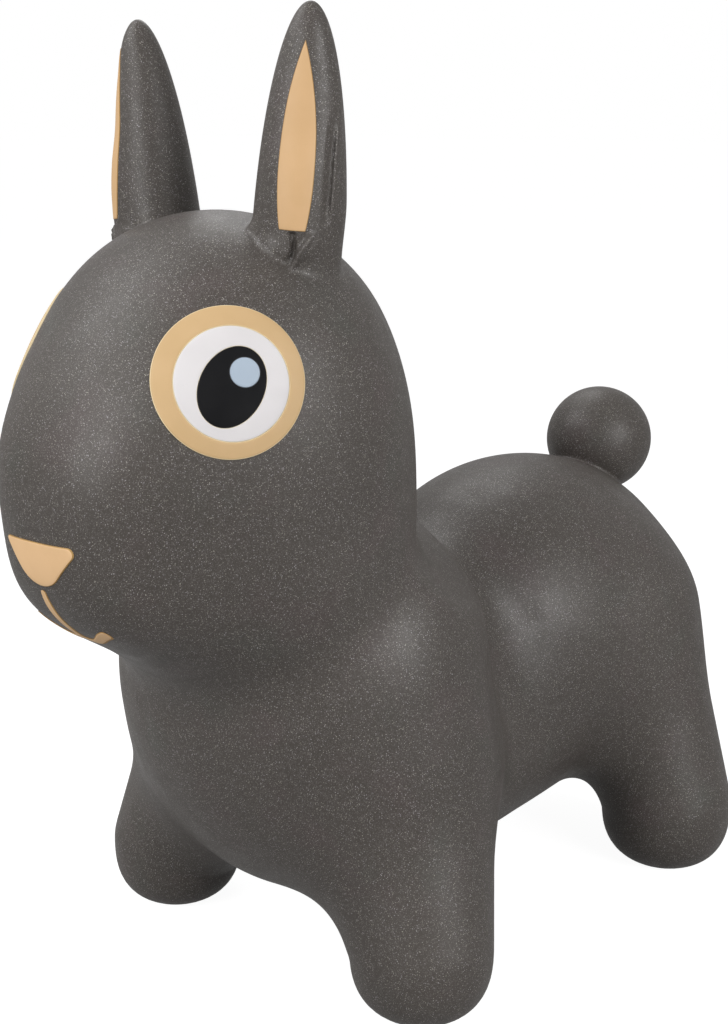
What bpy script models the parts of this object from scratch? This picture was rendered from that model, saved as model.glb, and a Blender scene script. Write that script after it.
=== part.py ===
"""Bouncy ride-on rabbit: a hollow moulded skin blown up with air, with ears to hold on to.

The rabbit looks along -Y, its left side is +X, and its four soles stand on z = 0.
The skin is one moulding on the real toy. It is divided here where it bends: at the
foot of each leg, at each ear and at the tail, and at the neck.
"""

import math

import bmesh
import bpy
import numpy as np
from mathutils import Matrix, Vector

MM = 0.001
DEG = math.pi / 180.0

# Skin of the whole toy
wall = 1.8 * MM
seam = 0.3 * MM
facet = 21.0 * MM
fine_reach = 55.0 * MM
probe_step = 0.02 * MM
origin_shift = -2.7 * MM

# Chest, belly and rump: centre behind the origin, height of the centre, half sizes, and
# the clearance that each keeps over the floor
chest_back = -76.5 * MM
chest_height = 178.5 * MM
chest_clearance = 45.0 * MM
chest_half_width = 119.5 * MM
chest_half_length = 99.5 * MM
chest_half_height = chest_height - chest_clearance
belly_back = 19.0 * MM
belly_height = 104.0 * MM
belly_clearance = 39.5 * MM
belly_half_width = 86.5 * MM
belly_half_length = 108.5 * MM
belly_half_height = belly_height - belly_clearance
rump_back = 136.5 * MM
rump_height = 159.5 * MM
rump_clearance = 46.5 * MM
rump_half_width = 106.0 * MM
rump_half_length = 131.5 * MM
rump_half_height = rump_height - rump_clearance
torso_blend = 49.0 * MM

# Front legs: foot ball and hip ball
front_foot_side = 104.8 * MM
front_foot_back = -87.5 * MM
front_foot_radius = 40.7 * MM
front_hip_side = 66.0 * MM
front_hip_back = -67.5 * MM
front_hip_height = 120.0 * MM
front_hip_radius = 58.2 * MM

# Rear legs
rear_foot_side = 104.3 * MM
rear_foot_back = 172.5 * MM
rear_foot_radius = 43.5 * MM
rear_hip_side = 63.8 * MM
rear_hip_back = 171.5 * MM
rear_hip_height = 166.0 * MM
rear_hip_radius = 47.3 * MM
leg_blend = 34.5 * MM
sole_depth = 4.0 * MM
sole_snap = 2.0 * MM

# Where the legs divide, and how far the body sinks on them
foot_height = 28.0 * MM
bounce_travel = 22.0 * MM
leg_seam_clearance = 4.0 * MM
leg_seam_side_slope = 0.7
leg_seam_back_slope = 0.55

# Head: crown, cheeks, and a muzzle squarer than an ellipsoid, with the power of its form
crown_back = -138.1 * MM
crown_height = 354.8 * MM
crown_half_width = 98.6 * MM
crown_half_length = 97.3 * MM
crown_half_height = 94.1 * MM
cheek_back = -115.4 * MM
cheek_height = 251.7 * MM
cheek_half_width = 94.5 * MM
cheek_half_length = 77.3 * MM
cheek_half_height = 95.2 * MM
muzzle_back = -168.5 * MM
muzzle_height = 295.2 * MM
muzzle_half_width = 56.6 * MM
muzzle_half_length = 89.8 * MM
muzzle_half_height = 62.0 * MM
MUZZLE_POWER = 3.1
head_blend = 66.7 * MM
neck_blend = 21.3 * MM
neck_back = -200.0 * MM
neck_height = 212.0 * MM
neck_rump_clearance = 57.275 * MM
neck_slope = (rump_height + rump_half_height + neck_rump_clearance - neck_height) / (rump_back - neck_back)

# Tail ball: sunk a little into the rump, along a line that rises from the rump's centre
tail_radius = 36.7 * MM
tail_sunk = 10.8 * MM
tail_angle = 50.7 * DEG
tail_root_height = 7.9 * MM

# Ears: a long egg with its lower half inside the head
ear_side = 52.0 * MM
ear_back = -129.6 * MM
ear_height = 417.5 * MM
ear_half_width = 24.4 * MM
ear_half_depth = 23.4 * MM
ear_half_length = 132.7 * MM
ear_splay = 5.7 * DEG
ear_lean = 0.6 * DEG
ear_facing = 36.0 * DEG
ear_root_height = 14.0 * MM

# Raised, painted areas
paint_gap = 0.3 * MM
paint_height = 0.8 * MM

# Eyes, in the plane that touches the head at the eye: back and up from the ring's centre
eye_turn = 50.8 * DEG
eye_rise = 11.0 * DEG
ring_radius = 37.65 * MM
white_back = 1.2 * MM
white_up = -1.2 * MM
white_radius = 28.3 * MM
pupil_back = 1.0 * MM
pupil_up = -3.1 * MM
pupil_half_length = 20.8 * MM
pupil_half_width = 15.7 * MM
pupil_tilt = 30.0 * DEG
glint_back = 7.6 * MM
glint_up = 3.6 * MM
glint_radius = 7.4 * MM

# Nose and mouth, seen from the front
nose_half_width = 30.5 * MM
nose_top = 293.5 * MM
nose_bottom = 258.0 * MM
nose_corner = 4.5 * MM
nose_tip = 19.5 * MM
mouth_gap = 3.3 * MM
mouth_fork = 236.0 * MM
mouth_low = 233.2 * MM
mouth_low_share = 0.22
mouth_half_width = 29.3 * MM
mouth_end_rise = 11.3 * MM
mouth_line = 4.8 * MM
mouth_end_radius = 2.6 * MM

# Inner ear panel, up the ear from its widest part
panel_bottom = 26.0 * MM
panel_top = 116.5 * MM
panel_half_width = 9.1 * MM
panel_foot_share = 0.74
panel_widest_share = 0.3

# Air valve at the back of the rump, and its plug
boss_radius = 12.0 * MM
boss_depth = 7.0 * MM
boss_proud = 1.0 * MM
bore_radius = 4.3 * MM
bore_clearance = 0.3 * MM
recess_depth = 2.2 * MM
plug_head_radius = 9.0 * MM
plug_head_height = 1.9 * MM
plug_edge = 0.6 * MM
plug_stem_length = 15.0 * MM
plug_tip_radius = 3.0 * MM
plug_tip_length = 3.0 * MM

overrun = 30.0 * MM
reach = 900.0 * MM

quarter_turn = 90.0 * DEG
sharp_angle = 35.0 * DEG

SETTLE_ROUNDS = range(8)
SLIDE_ROUNDS = range(14)
QUICK_ROUNDS = range(3)
SIDES = (("left", 1.0), ("right", -1.0))
SKIN_COLOUR = (0.075, 0.068, 0.064, 1.0)
TAN_COLOUR = (0.80, 0.53, 0.30, 1.0)
WHITE_COLOUR = (0.82, 0.83, 0.85, 1.0)
BLACK_COLOUR = (0.012, 0.012, 0.013, 1.0)
GLINT_COLOUR = (0.42, 0.53, 0.66, 1.0)
PLUG_COLOUR = (0.74, 0.74, 0.72, 1.0)


# Smooth fields: negative inside a form, positive outside, in metres


def ellipsoid(points, centre, radii):
    scaled = (points - centre) / radii
    size = np.sqrt((scaled**2).sum(-1)) + 1e-9
    slope = np.sqrt(((scaled / radii) ** 2).sum(-1)) + 1e-9
    return size * (size - 1.0) / slope


def squared_ellipsoid(points, centre, radii, power):
    """Like an ellipsoid, but flatter in front and at its sides."""
    scaled = np.abs((points - centre) / radii) + 1e-9
    size = (scaled**power).sum(-1) ** (1.0 / power)
    slope = np.sqrt(((scaled ** (power - 1.0) / radii) ** 2).sum(-1)) * size ** (1.0 - power)
    return (size - 1.0) / slope


def round_cone(points, top, bottom, top_radius, bottom_radius):
    """Two balls of unlike size and the cone that touches both."""
    axis = bottom - top
    length = np.sqrt((axis**2).sum())
    axis = axis / length
    sine = (top_radius - bottom_radius) / length
    cosine = math.sqrt(max(1.0 - sine * sine, 0.0))
    offset = points - top
    along = offset @ axis
    across = np.sqrt(np.maximum((offset**2).sum(-1) - along**2, 0.0))
    foot = along - across * sine / max(cosine, 1e-9)
    cone = across * cosine + along * sine - top_radius
    top_ball = np.sqrt((offset**2).sum(-1)) - top_radius
    bottom_ball = np.sqrt(((points - bottom) ** 2).sum(-1)) - bottom_radius
    lower = np.where(foot > length, bottom_ball, cone)
    return np.where(foot < 0.0, top_ball, lower)


def blend(first, second, width):
    """Joins two fields with a fillet about as wide as width."""
    share = np.maximum(width - np.abs(first - second), 0.0) / width
    return np.minimum(first, second) - share * share * width * 0.25


def place(back, height, side=0.0):
    return np.array((side, back + origin_shift, height))


def leg_ends(end, side):
    """Centre and radius of a leg's hip ball and foot ball."""
    if end == "front":
        hip = place(front_hip_back, front_hip_height, side * front_hip_side)
        foot = place(front_foot_back, front_foot_radius - sole_depth, side * front_foot_side)
        return hip, front_hip_radius, foot, front_foot_radius
    hip = place(rear_hip_back, rear_hip_height, side * rear_hip_side)
    foot = place(rear_foot_back, rear_foot_radius - sole_depth, side * rear_foot_side)
    return hip, rear_hip_radius, foot, rear_foot_radius


def torso_forms():
    return (
        (place(chest_back, chest_height), (chest_half_width, chest_half_length, chest_half_height)),
        (place(rump_back, rump_height), (rump_half_width, rump_half_length, rump_half_height)),
        (place(belly_back, belly_height), (belly_half_width, belly_half_length, belly_half_height)),
    )


def head_forms():
    return (
        (place(crown_back, crown_height), (crown_half_width, crown_half_length, crown_half_height)),
        (place(cheek_back, cheek_height), (cheek_half_width, cheek_half_length, cheek_half_height)),
    )


def muzzle_form():
    return place(muzzle_back, muzzle_height), (muzzle_half_width, muzzle_half_length, muzzle_half_height)


def joined(points, forms, width):
    field = None
    for centre, radii in forms:
        form = ellipsoid(points, centre, np.array(radii))
        field = form if field is None else blend(field, form, width)
    return field


def torso_field(points):
    field = joined(points, torso_forms(), torso_blend)
    folded = np.abs(points * (1.0, 0.0, 0.0)) + points * (0.0, 1.0, 1.0)
    for end in ("front", "rear"):
        hip, hip_radius, foot, foot_radius = leg_ends(end, 1.0)
        field = blend(field, round_cone(folded, hip, foot, hip_radius, foot_radius), leg_blend)
    return field


def head_field(points):
    centre, radii = muzzle_form()
    muzzle = squared_ellipsoid(points, centre, np.array(radii), MUZZLE_POWER)
    return blend(joined(points, head_forms(), head_blend), muzzle, head_blend)


def body_field(points):
    return blend(torso_field(points), head_field(points), neck_blend)


def ear_turn(side):
    """The ear's own axes: Z up the ear, -Y out of the painted panel."""
    splay = Matrix.Rotation(side * ear_splay, 3, "Y")
    lean = Matrix.Rotation(ear_lean, 3, "X")
    facing = Matrix.Rotation(side * ear_facing, 3, "Z")
    return splay @ lean @ facing


def ear_centre(side):
    return place(ear_back, ear_height, side * ear_side)


def ear_field(side):
    turn = np.array(ear_turn(side))
    radii = np.array((ear_half_width, ear_half_depth, ear_half_length))

    def field(points):
        return ellipsoid((points - ear_centre(side)) @ turn, np.zeros(3), radii)

    return field


def gradient(field, points):
    columns = []
    for step in np.eye(3) * probe_step:
        columns.append(field(points + step) - field(points - step))
    slope = np.stack(columns, -1)
    return slope / np.maximum(np.sqrt((slope**2).sum(-1, keepdims=True)), 1e-12)


def settle(field, points, level=0.0, rounds=SETTLE_ROUNDS):
    """Moves points along the field's slope until they lie at its level."""
    for _ in rounds:
        points = points - gradient(field, points) * (field(points) - level)[:, None]
    return points


def project(field, points, direction, level):
    """Slides points along one direction until they lie at the field's level."""
    direction = np.array(direction)
    for _ in SLIDE_ROUNDS:
        slope = gradient(field, points) @ direction
        slope = np.where(np.abs(slope) < 0.2, np.copysign(0.2, slope), slope)
        points = points - direction * ((field(points) - level) / slope)[:, None]
    return points


# Objects


def new_collection(name):
    collection = bpy.data.collections.new(name)
    bpy.context.scene.collection.children.link(collection)
    return collection


def material(name, colour, roughness):
    made = bpy.data.materials.new(name)
    made.use_nodes = True
    shader = made.node_tree.nodes["Principled BSDF"]
    shader.inputs["Base Color"].default_value = colour
    shader.inputs["Roughness"].default_value = roughness
    shader.inputs["Metallic"].default_value = 0.0
    made.diffuse_color = colour
    return made


def mesh_from(bm, name):
    mesh = bpy.data.meshes.new(name)
    bm.to_mesh(mesh)
    bm.free()
    return mesh


def evaluated(obj):
    """The object's mesh with its modifiers applied."""
    bpy.context.view_layer.update()
    graph = bpy.context.evaluated_depsgraph_get()
    return bpy.data.meshes.new_from_object(obj.evaluated_get(graph))


def part(name, mesh, colour, roughness=0.5):
    obj = bpy.data.objects.new(name, mesh)
    parts.objects.link(obj)
    obj.data.materials.clear()
    obj.data.materials.append(material(name, colour, roughness))
    obj.parent = rabbit
    obj.data.shade_smooth()
    obj.data.set_sharp_from_angle(angle=sharp_angle)
    return obj


def cutter(name, mesh):
    obj = bpy.data.objects.new(name, mesh)
    cutters.objects.link(obj)
    obj.hide_render = True
    obj.display_type = "WIRE"
    return obj


def cut(obj, tool, operation="DIFFERENCE"):
    modifier = obj.modifiers.new(tool.name, "BOOLEAN")
    modifier.operation = operation
    modifier.solver = "EXACT"
    modifier.object = tool


def half_space(name, point, normal, depth=reach):
    """A block whose flat face passes through point and which lies on the side of normal."""
    bm = bmesh.new()
    bmesh.ops.create_cube(bm, size=1.0)
    turn = Vector(normal).to_track_quat("Z", "Y").to_matrix().to_4x4()
    centre = Matrix.Translation(Vector((0.0, 0.0, depth / 2)))
    sizes = Matrix.Diagonal((reach, reach, depth, 1.0))
    matrix = Matrix.Translation(Vector(point)) @ turn @ centre @ sizes
    bmesh.ops.transform(bm, matrix=matrix, verts=bm.verts)
    return cutter(name, mesh_from(bm, name))


def move_origin(obj, point):
    """Puts the object's origin at a point, with its mesh where it was."""
    obj.data.transform(Matrix.Translation(-Vector(point)))
    obj.location = Vector(point)


# The body's surface


def add_ball(bm, centre, radii):
    matrix = Matrix.Translation(Vector(centre)) @ Matrix.Diagonal((*radii, 1.0))
    bmesh.ops.create_uvsphere(bm, u_segments=32, v_segments=20, radius=1.0, matrix=matrix)


def add_leg(bm, hip, hip_radius, foot, foot_radius):
    add_ball(bm, hip, (hip_radius,) * 3)
    add_ball(bm, foot, (foot_radius,) * 3)
    axis = Vector(foot - hip)
    matrix = Matrix.Translation(Vector(hip + foot) / 2) @ axis.to_track_quat("Z", "Y").to_matrix().to_4x4()
    bmesh.ops.create_cone(
        bm, cap_ends=True, segments=32, radius1=hip_radius, radius2=foot_radius,
        depth=axis.length, matrix=matrix,
    )


def body_surface():
    """The outer surface of body, head and legs, flat at the soles."""
    bm = bmesh.new()
    for centre, radii in (*torso_forms(), *head_forms(), muzzle_form()):
        add_ball(bm, centre, radii)
    for end in ("front", "rear"):
        for _, side in SIDES:
            add_leg(bm, *leg_ends(end, side))
    forms = cutter("body_forms", mesh_from(bm, "body_forms"))
    remesh = forms.modifiers.new("one_surface", "REMESH")
    remesh.mode = "VOXEL"
    remesh.voxel_size = facet
    surface = evaluated(forms)
    forms.modifiers.clear()

    bm = bmesh.new()
    bm.from_mesh(surface)
    put(bm, settle(body_field, taken(bm), rounds=QUICK_ROUNDS))
    mouth = Vector(place(muzzle_back - muzzle_half_length, nose_bottom))
    near = [edge for edge in bm.edges if all((v.co - mouth).length < fine_reach for v in edge.verts)]
    bmesh.ops.subdivide_edges(bm, edges=near, cuts=1, use_grid_fill=True)
    for _ in SETTLE_ROUNDS:
        put(bm, settle(body_field, taken(bm), rounds=QUICK_ROUNDS))
        bmesh.ops.smooth_vert(bm, verts=bm.verts, factor=0.5, use_axis_x=True, use_axis_y=True, use_axis_z=True)
    points = settle(body_field, taken(bm))
    points[:, 2] = np.where(np.abs(points[:, 2]) < sole_snap, 0.0, points[:, 2])
    put(bm, points)
    everything = list(bm.verts) + list(bm.edges) + list(bm.faces)
    bmesh.ops.bisect_plane(
        bm, geom=everything, dist=probe_step, plane_co=(0.0, 0.0, 0.0), plane_no=(0.0, 0.0, 1.0), clear_inner=True,
    )
    rims = [edge for edge in bm.edges if edge.is_boundary]
    bmesh.ops.holes_fill(bm, edges=rims, sides=0)
    bmesh.ops.recalc_face_normals(bm, faces=bm.faces)
    return mesh_from(bm, "body_surface")


def taken(bm):
    return np.array([vertex.co for vertex in bm.verts])


def put(bm, points):
    for vertex, point in zip(bm.verts, points):
        vertex.co = point


def grown(mesh, distance, name):
    """A copy of a closed surface with its points moved out along their normals."""
    bm = bmesh.new()
    bm.from_mesh(mesh)
    bm.normal_update()
    moved = [vertex.co + vertex.normal * distance for vertex in bm.verts]
    put(bm, moved)
    return mesh_from(bm, name)


def shell(mesh, name):
    """A closed surface given the thickness of the skin, inwards."""
    holder = cutter(name, mesh.copy())
    solidify = holder.modifiers.new("wall", "SOLIDIFY")
    solidify.thickness = wall
    solidify.offset = -1.0
    solidify.use_even_offset = True
    made = evaluated(holder)
    bpy.data.objects.remove(holder)
    return made


# Flat and turned pieces


def film(name, field, flat, faces, frame, colour, roughness=0.5):
    """A thin raised area that follows a field: flat points in a plane, pushed on to the form."""
    centre, across, up, outwards = frame
    points = centre + np.outer(flat[:, 0], across) + np.outer(flat[:, 1], up)
    points = project(field, points, outwards, paint_gap)
    bm = bmesh.new()
    made = [bm.verts.new(point) for point in points]
    for face in faces:
        bm.faces.new([made[i] for i in face])
    bmesh.ops.recalc_face_normals(bm, faces=bm.faces)
    if sum(Vector(outwards).dot(face.normal) for face in bm.faces) < 0.0:
        bmesh.ops.reverse_faces(bm, faces=bm.faces)
    obj = part(name, mesh_from(bm, name), colour, roughness)
    solidify = obj.modifiers.new("height", "SOLIDIFY")
    solidify.thickness = paint_height
    solidify.offset = 1.0
    return obj


def rings(inner, outer, steps):
    """Points and faces between two closed loops with as many points each."""
    count = len(outer)
    flat = []
    faces = []
    for step in range(steps + 1):
        flat.append(inner + (outer - inner) * step / steps)
    for step in range(steps):
        for i in range(count):
            j = (i + 1) % count
            faces.append((step * count + i, step * count + j, (step + 1) * count + j, (step + 1) * count + i))
    return np.concatenate(flat), faces


def disc(outer, steps):
    """Points and faces that fill one closed loop, from its middle outwards."""
    count = len(outer)
    middle = outer.mean(0)
    flat, faces = rings(middle + (outer - middle) / steps, outer, steps - 1)
    centre = len(flat)
    flat = np.concatenate((flat, middle[None]))
    for i in range(count):
        faces.append((centre, i, (i + 1) % count))
    return flat, faces


def circle(centre, radius, count):
    turn = np.arange(count) * 2.0 * math.pi / count
    return np.array(centre) + radius * np.stack((np.cos(turn), np.sin(turn)), 1)


def pupil_loop(growth, count):
    turn = np.arange(count) * 2.0 * math.pi / count
    along = (pupil_half_length + growth) * np.sin(turn)
    across = (pupil_half_width + growth) * np.cos(turn)
    back = across * math.cos(pupil_tilt) + along * math.sin(pupil_tilt)
    up = along * math.cos(pupil_tilt) - across * math.sin(pupil_tilt)
    return np.array((pupil_back, pupil_up)) + np.stack((back, up), 1)


def matched(loop, centre, count):
    """A loop's points at equal angles round a centre inside it."""
    offset = loop - np.array(centre)
    angle = np.arctan2(offset[:, 1], offset[:, 0])
    order = np.argsort(angle)
    angle = angle[order]
    size = np.sqrt((offset**2).sum(1))[order]
    turn = np.arange(count) * 2.0 * math.pi / count
    turn = (turn + math.pi) % (2.0 * math.pi) - math.pi
    radius = np.interp(turn, angle, size, period=2.0 * math.pi)
    return np.array(centre) + radius[:, None] * np.stack((np.cos(turn), np.sin(turn)), 1)


def eye_frame(side):
    """The point of the head under the eye's centre, and its directions back, up and out."""
    level = math.cos(eye_rise)
    sight = np.array((side * math.sin(eye_turn) * level, -math.cos(eye_turn) * level, math.sin(eye_rise)))
    start = place(crown_back, crown_height) + sight * crown_half_width
    centre = project(head_field, start[None], sight, 0.0)[0]
    outwards = gradient(head_field, centre[None])[0]
    back = np.cross((0.0, 0.0, side), outwards)
    back = back / np.sqrt((back**2).sum())
    up = side * np.cross(outwards, back)
    return centre, back, up, outwards


def make_eye(label, side):
    frame = eye_frame(side)
    count = 24
    ring_inner = circle((white_back, white_up), white_radius + seam, count)
    ring_outer = matched(circle((0.0, 0.0), ring_radius, 8 * count), (white_back, white_up), count)
    flat, faces = rings(ring_inner, ring_outer, 2)
    film(f"eye_ring_{label}", body_field, flat, faces, frame, TAN_COLOUR)

    pupil_centre = (pupil_back, pupil_up)
    white_inner = matched(pupil_loop(seam, 8 * count), pupil_centre, count)
    white_outer = matched(circle((white_back, white_up), white_radius, 8 * count), pupil_centre, count)
    flat, faces = rings(white_inner, white_outer, 2)
    film(f"eye_white_{label}", body_field, flat, faces, frame, WHITE_COLOUR)

    glint_centre = (glint_back, glint_up)
    pupil_inner = circle(glint_centre, glint_radius + seam, count)
    pupil_outer = matched(pupil_loop(0.0, 8 * count), glint_centre, count)
    flat, faces = rings(pupil_inner, pupil_outer, 3)
    film(f"pupil_{label}", body_field, flat, faces, frame, BLACK_COLOUR)

    flat, faces = disc(circle(glint_centre, glint_radius, 20), 2)
    film(f"pupil_glint_{label}", body_field, flat, faces, frame, GLINT_COLOUR)


def front_frame():
    start = place(muzzle_back - muzzle_half_length, 0.0)
    return start, np.array((1.0, 0.0, 0.0)), np.array((0.0, 0.0, 1.0)), np.array((0.0, -1.0, 0.0))


def rounded(corners, radii, count):
    """A closed loop round corners, each turned with an arc of count points."""
    loop = []
    total = len(corners)
    for i, (corner, radius) in enumerate(zip(corners, radii)):
        before = corners[i - 1] - corner
        after = corners[(i + 1) % total] - corner
        before = before / np.sqrt((before**2).sum())
        after = after / np.sqrt((after**2).sum())
        half = math.acos(float(before @ after)) / 2.0
        middle = (before + after) / np.sqrt(((before + after) ** 2).sum())
        centre = corner + middle * radius / math.sin(half)
        start = corner + before * radius / math.tan(half)
        end = corner + after * radius / math.tan(half)
        for step in range(count):
            share = step / (count - 1)
            ray = (start - centre) * (1.0 - share) + (end - centre) * share
            loop.append(centre + ray * radius / np.sqrt((ray**2).sum()))
    return np.array(loop)


def even(loop, count):
    """The same closed loop with count points at even distances."""
    closed = np.concatenate((loop, loop[:1]))
    lengths = np.sqrt((np.diff(closed, axis=0) ** 2).sum(1))
    reached = np.concatenate(((0.0,), np.cumsum(lengths)))
    places = reached[-1] * np.arange(count) / count
    return np.stack([np.interp(places, reached, closed[:, axis]) for axis in (0, 1)], 1)


def nose_loop():
    corners = np.array((
        (-nose_half_width, nose_top),
        (0.0, nose_bottom),
        (nose_half_width, nose_top),
    ))
    return even(rounded(corners, (nose_corner, nose_tip, nose_corner), 9), 32)


def make_nose():
    flat, faces = disc(nose_loop(), 4)
    film("nose", body_field, flat, faces, front_frame(), TAN_COLOUR)


def mouth_half():
    """Upper and lower edge of the mouth's line, from its middle to its rounded end."""
    count = 10
    share = np.arange(count) / (count - 1)
    side = share * (mouth_half_width - mouth_end_radius)
    dip = mouth_fork - mouth_low
    rise = np.where(
        share < mouth_low_share,
        -dip * np.sin(share / mouth_low_share * math.pi / 2.0),
        -dip + mouth_end_rise * ((share - mouth_low_share) / (1.0 - mouth_low_share)) ** 2,
    )
    line = np.stack((side, mouth_fork + rise), 1)
    slope = np.gradient(line, axis=0)
    slope = slope / np.sqrt((slope**2).sum(1))[:, None]
    slope[0] = (1.0, 0.0)
    normal = np.stack((-slope[:, 1], slope[:, 0]), 1)
    half = np.full(count, mouth_line / 2.0)
    upper = line + normal * half[:, None]
    lower = line - normal * half[:, None]
    end = line[-1]
    start_angle = math.atan2(normal[-1][1], normal[-1][0])
    turns = start_angle - np.linspace(0.15, 0.85, 5) * math.pi
    centre = end + slope[-1] * mouth_end_radius
    cap = centre + mouth_end_radius * np.stack((np.cos(turns), np.sin(turns)), 1)
    return upper, lower, cap


def make_mouth():
    upper, lower, cap = mouth_half()
    stem = mouth_line / 2.0
    upper[0] = (stem, upper[0][1])
    lower_middle = np.array(((0.0, lower[0][1]),))
    points = [lower_middle]
    faces = []
    count = len(upper)
    starts = {}
    for side in (1.0, -1.0):
        mirror = np.array((side, 1.0))
        starts[side] = sum(len(block) for block in points)
        points.append(upper * mirror)
        points.append(lower[1:] * mirror)
        points.append(cap * mirror)
        first = starts[side]

        def low(i, first=first):
            return 0 if i == 0 else first + count + i - 1

        for i in range(count - 1):
            faces.append((first + i, first + i + 1, low(i + 1), low(i)))
        caps = [first + 2 * count - 1 + i for i in range(len(cap))]
        faces.append((first + count - 1, *caps, low(count - 1)))
    faces.append((starts[1.0], 0, starts[-1.0]))
    fork = upper[0][1]
    top = nose_loop()[:, 1].min() - mouth_gap
    rows = 5
    base = sum(len(block) for block in points)
    for row in range(1, rows):
        height = fork + (top - fork) * row / (rows - 1)
        points.append(np.array(((stem, height), (-stem, height))))
    previous = (starts[1.0], starts[-1.0])
    for row in range(1, rows):
        current = (base + 2 * row - 2, base + 2 * row - 1)
        faces.append((current[0], previous[0], previous[1], current[1]))
        previous = current
    film("mouth", body_field, np.concatenate(points), faces, front_frame(), TAN_COLOUR)


def make_ear_panel(label, side):
    """A leaf with a flat foot, on the front of the ear."""
    turn = np.array(ear_turn(side))
    outwards = -turn[:, 1]
    frame = (ear_centre(side) + outwards * ear_half_depth, turn[:, 0], turn[:, 2], outwards)
    rows = 9
    columns = 5
    flat = []
    faces = []
    for row in range(rows):
        share = row / rows
        if share < panel_widest_share:
            lift = math.sin(share / panel_widest_share * math.pi / 2.0)
            width = panel_foot_share + (1.0 - panel_foot_share) * lift
        else:
            width = 1.0 - ((share - panel_widest_share) / (1.0 - panel_widest_share)) ** 2.3
        height = panel_bottom + (panel_top - panel_bottom) * share
        for column in range(columns):
            flat.append((panel_half_width * width * (2.0 * column / (columns - 1) - 1.0), height))
    for row in range(rows - 1):
        for column in range(columns - 1):
            i = row * columns + column
            faces.append((i, i + 1, i + columns + 1, i + columns))
    tip = len(flat)
    flat.append((0.0, panel_top))
    for column in range(columns - 1):
        i = (rows - 1) * columns + column
        faces.append((i, i + 1, tip))
    film(f"ear_panel_{label}", ear_field(side), np.array(flat), faces, frame, TAN_COLOUR)


def turned(name, profile, segments):
    """A closed body turned about Z from a profile that starts and ends on the axis."""
    bm = bmesh.new()
    made = [bm.verts.new((radius, 0.0, height)) for radius, height in profile]
    for first, second in zip(made, made[1:]):
        bm.edges.new((first, second))
    holder = cutter(name, mesh_from(bm, name))
    screw = holder.modifiers.new("turn", "SCREW")
    screw.steps = segments
    screw.render_steps = segments
    screw.use_merge_vertices = True
    screw.merge_threshold = probe_step
    mesh = evaluated(holder)
    bpy.data.objects.remove(holder)
    bm = bmesh.new()
    bm.from_mesh(mesh)
    bmesh.ops.remove_doubles(bm, verts=bm.verts, dist=probe_step)
    bmesh.ops.recalc_face_normals(bm, faces=bm.faces)
    return mesh_from(bm, name)


def cylinder(name, radius, bottom, top, place_matrix, segments=32):
    bm = bmesh.new()
    matrix = place_matrix @ Matrix.Translation((0.0, 0.0, (bottom + top) / 2.0))
    bmesh.ops.create_cone(
        bm, cap_ends=True, segments=segments, radius1=radius, radius2=radius, depth=top - bottom, matrix=matrix,
    )
    return cutter(name, mesh_from(bm, name))


# Seams


def neck_plane():
    normal = np.array((0.0, -neck_slope, 1.0))
    return place(neck_back, neck_height), normal / np.sqrt((normal**2).sum())


def tail_direction():
    return np.array((0.0, math.cos(tail_angle), math.sin(tail_angle)))


def tail_point(height):
    """A point on the tail's axis, so far out of the rump."""
    direction = tail_direction()
    radii = np.array((rump_half_width, rump_half_length, rump_half_height))
    rump = 1.0 / np.sqrt(((direction / radii) ** 2).sum())
    return place(rump_back, rump_height) + direction * (rump + height)


def leg_plane(end, side):
    """The slanted seam above a leg, and its normal towards the foot."""
    _, _, foot, radius = leg_ends(end, side)
    towards_middle = 1.0 if end == "front" else -1.0
    point = foot + np.array((-side * radius, towards_middle * radius, 0.0))
    point[2] = foot_height + bounce_travel + leg_seam_clearance
    normal = np.array((side * leg_seam_side_slope, -towards_middle * leg_seam_back_slope, -1.0))
    return point, normal / np.sqrt((normal**2).sum())


def ear_base(side):
    """Where the ear's axis leaves the head, and the head's normal there."""
    axis = np.array(ear_turn(side))[:, 2]
    start = ear_centre(side)
    point = project(head_field, start[None], axis, 0.0)[0]
    return point, gradient(head_field, point[None])[0]


def valve_matrix():
    """Z out of the valve, with z = 0 on the skin."""
    start = place(rump_back + rump_half_length, rump_height)
    point = project(torso_field, start[None], (0.0, 1.0, 0.0), 0.0)[0]
    return Matrix.Translation(Vector(point)) @ Matrix.Rotation(-quarter_turn, 4, "X")


# Parts


def make_head(skin, ears):
    point, normal = neck_plane()
    head = part("head_skin", skin.copy(), SKIN_COLOUR)
    for ear_inside in ears:
        cut(head, ear_inside)
    cut(head, half_space("neck_upper", point + normal * seam / 2.0, normal), "INTERSECT")


def make_legs(skin):
    for end in ("front", "rear"):
        for label, side in SIDES:
            name = f"{end}_{label}"
            point, normal = leg_plane(end, side)
            ground = np.array((0.0, 0.0, 1.0))
            low = np.array((0.0, 0.0, foot_height - seam / 2.0))
            high = np.array((0.0, 0.0, foot_height + seam / 2.0))
            corner = half_space(f"{name}_leg_side", point + normal * seam / 2.0, normal)
            leg = part(f"leg_{name}", skin.copy(), SKIN_COLOUR)
            cut(leg, corner, "INTERSECT")
            cut(leg, half_space(f"{name}_above_foot", high, ground), "INTERSECT")
            foot = part(f"foot_{name}", skin.copy(), SKIN_COLOUR)
            cut(foot, corner, "INTERSECT")
            cut(foot, half_space(f"{name}_below_leg", low, -ground), "INTERSECT")


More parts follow.
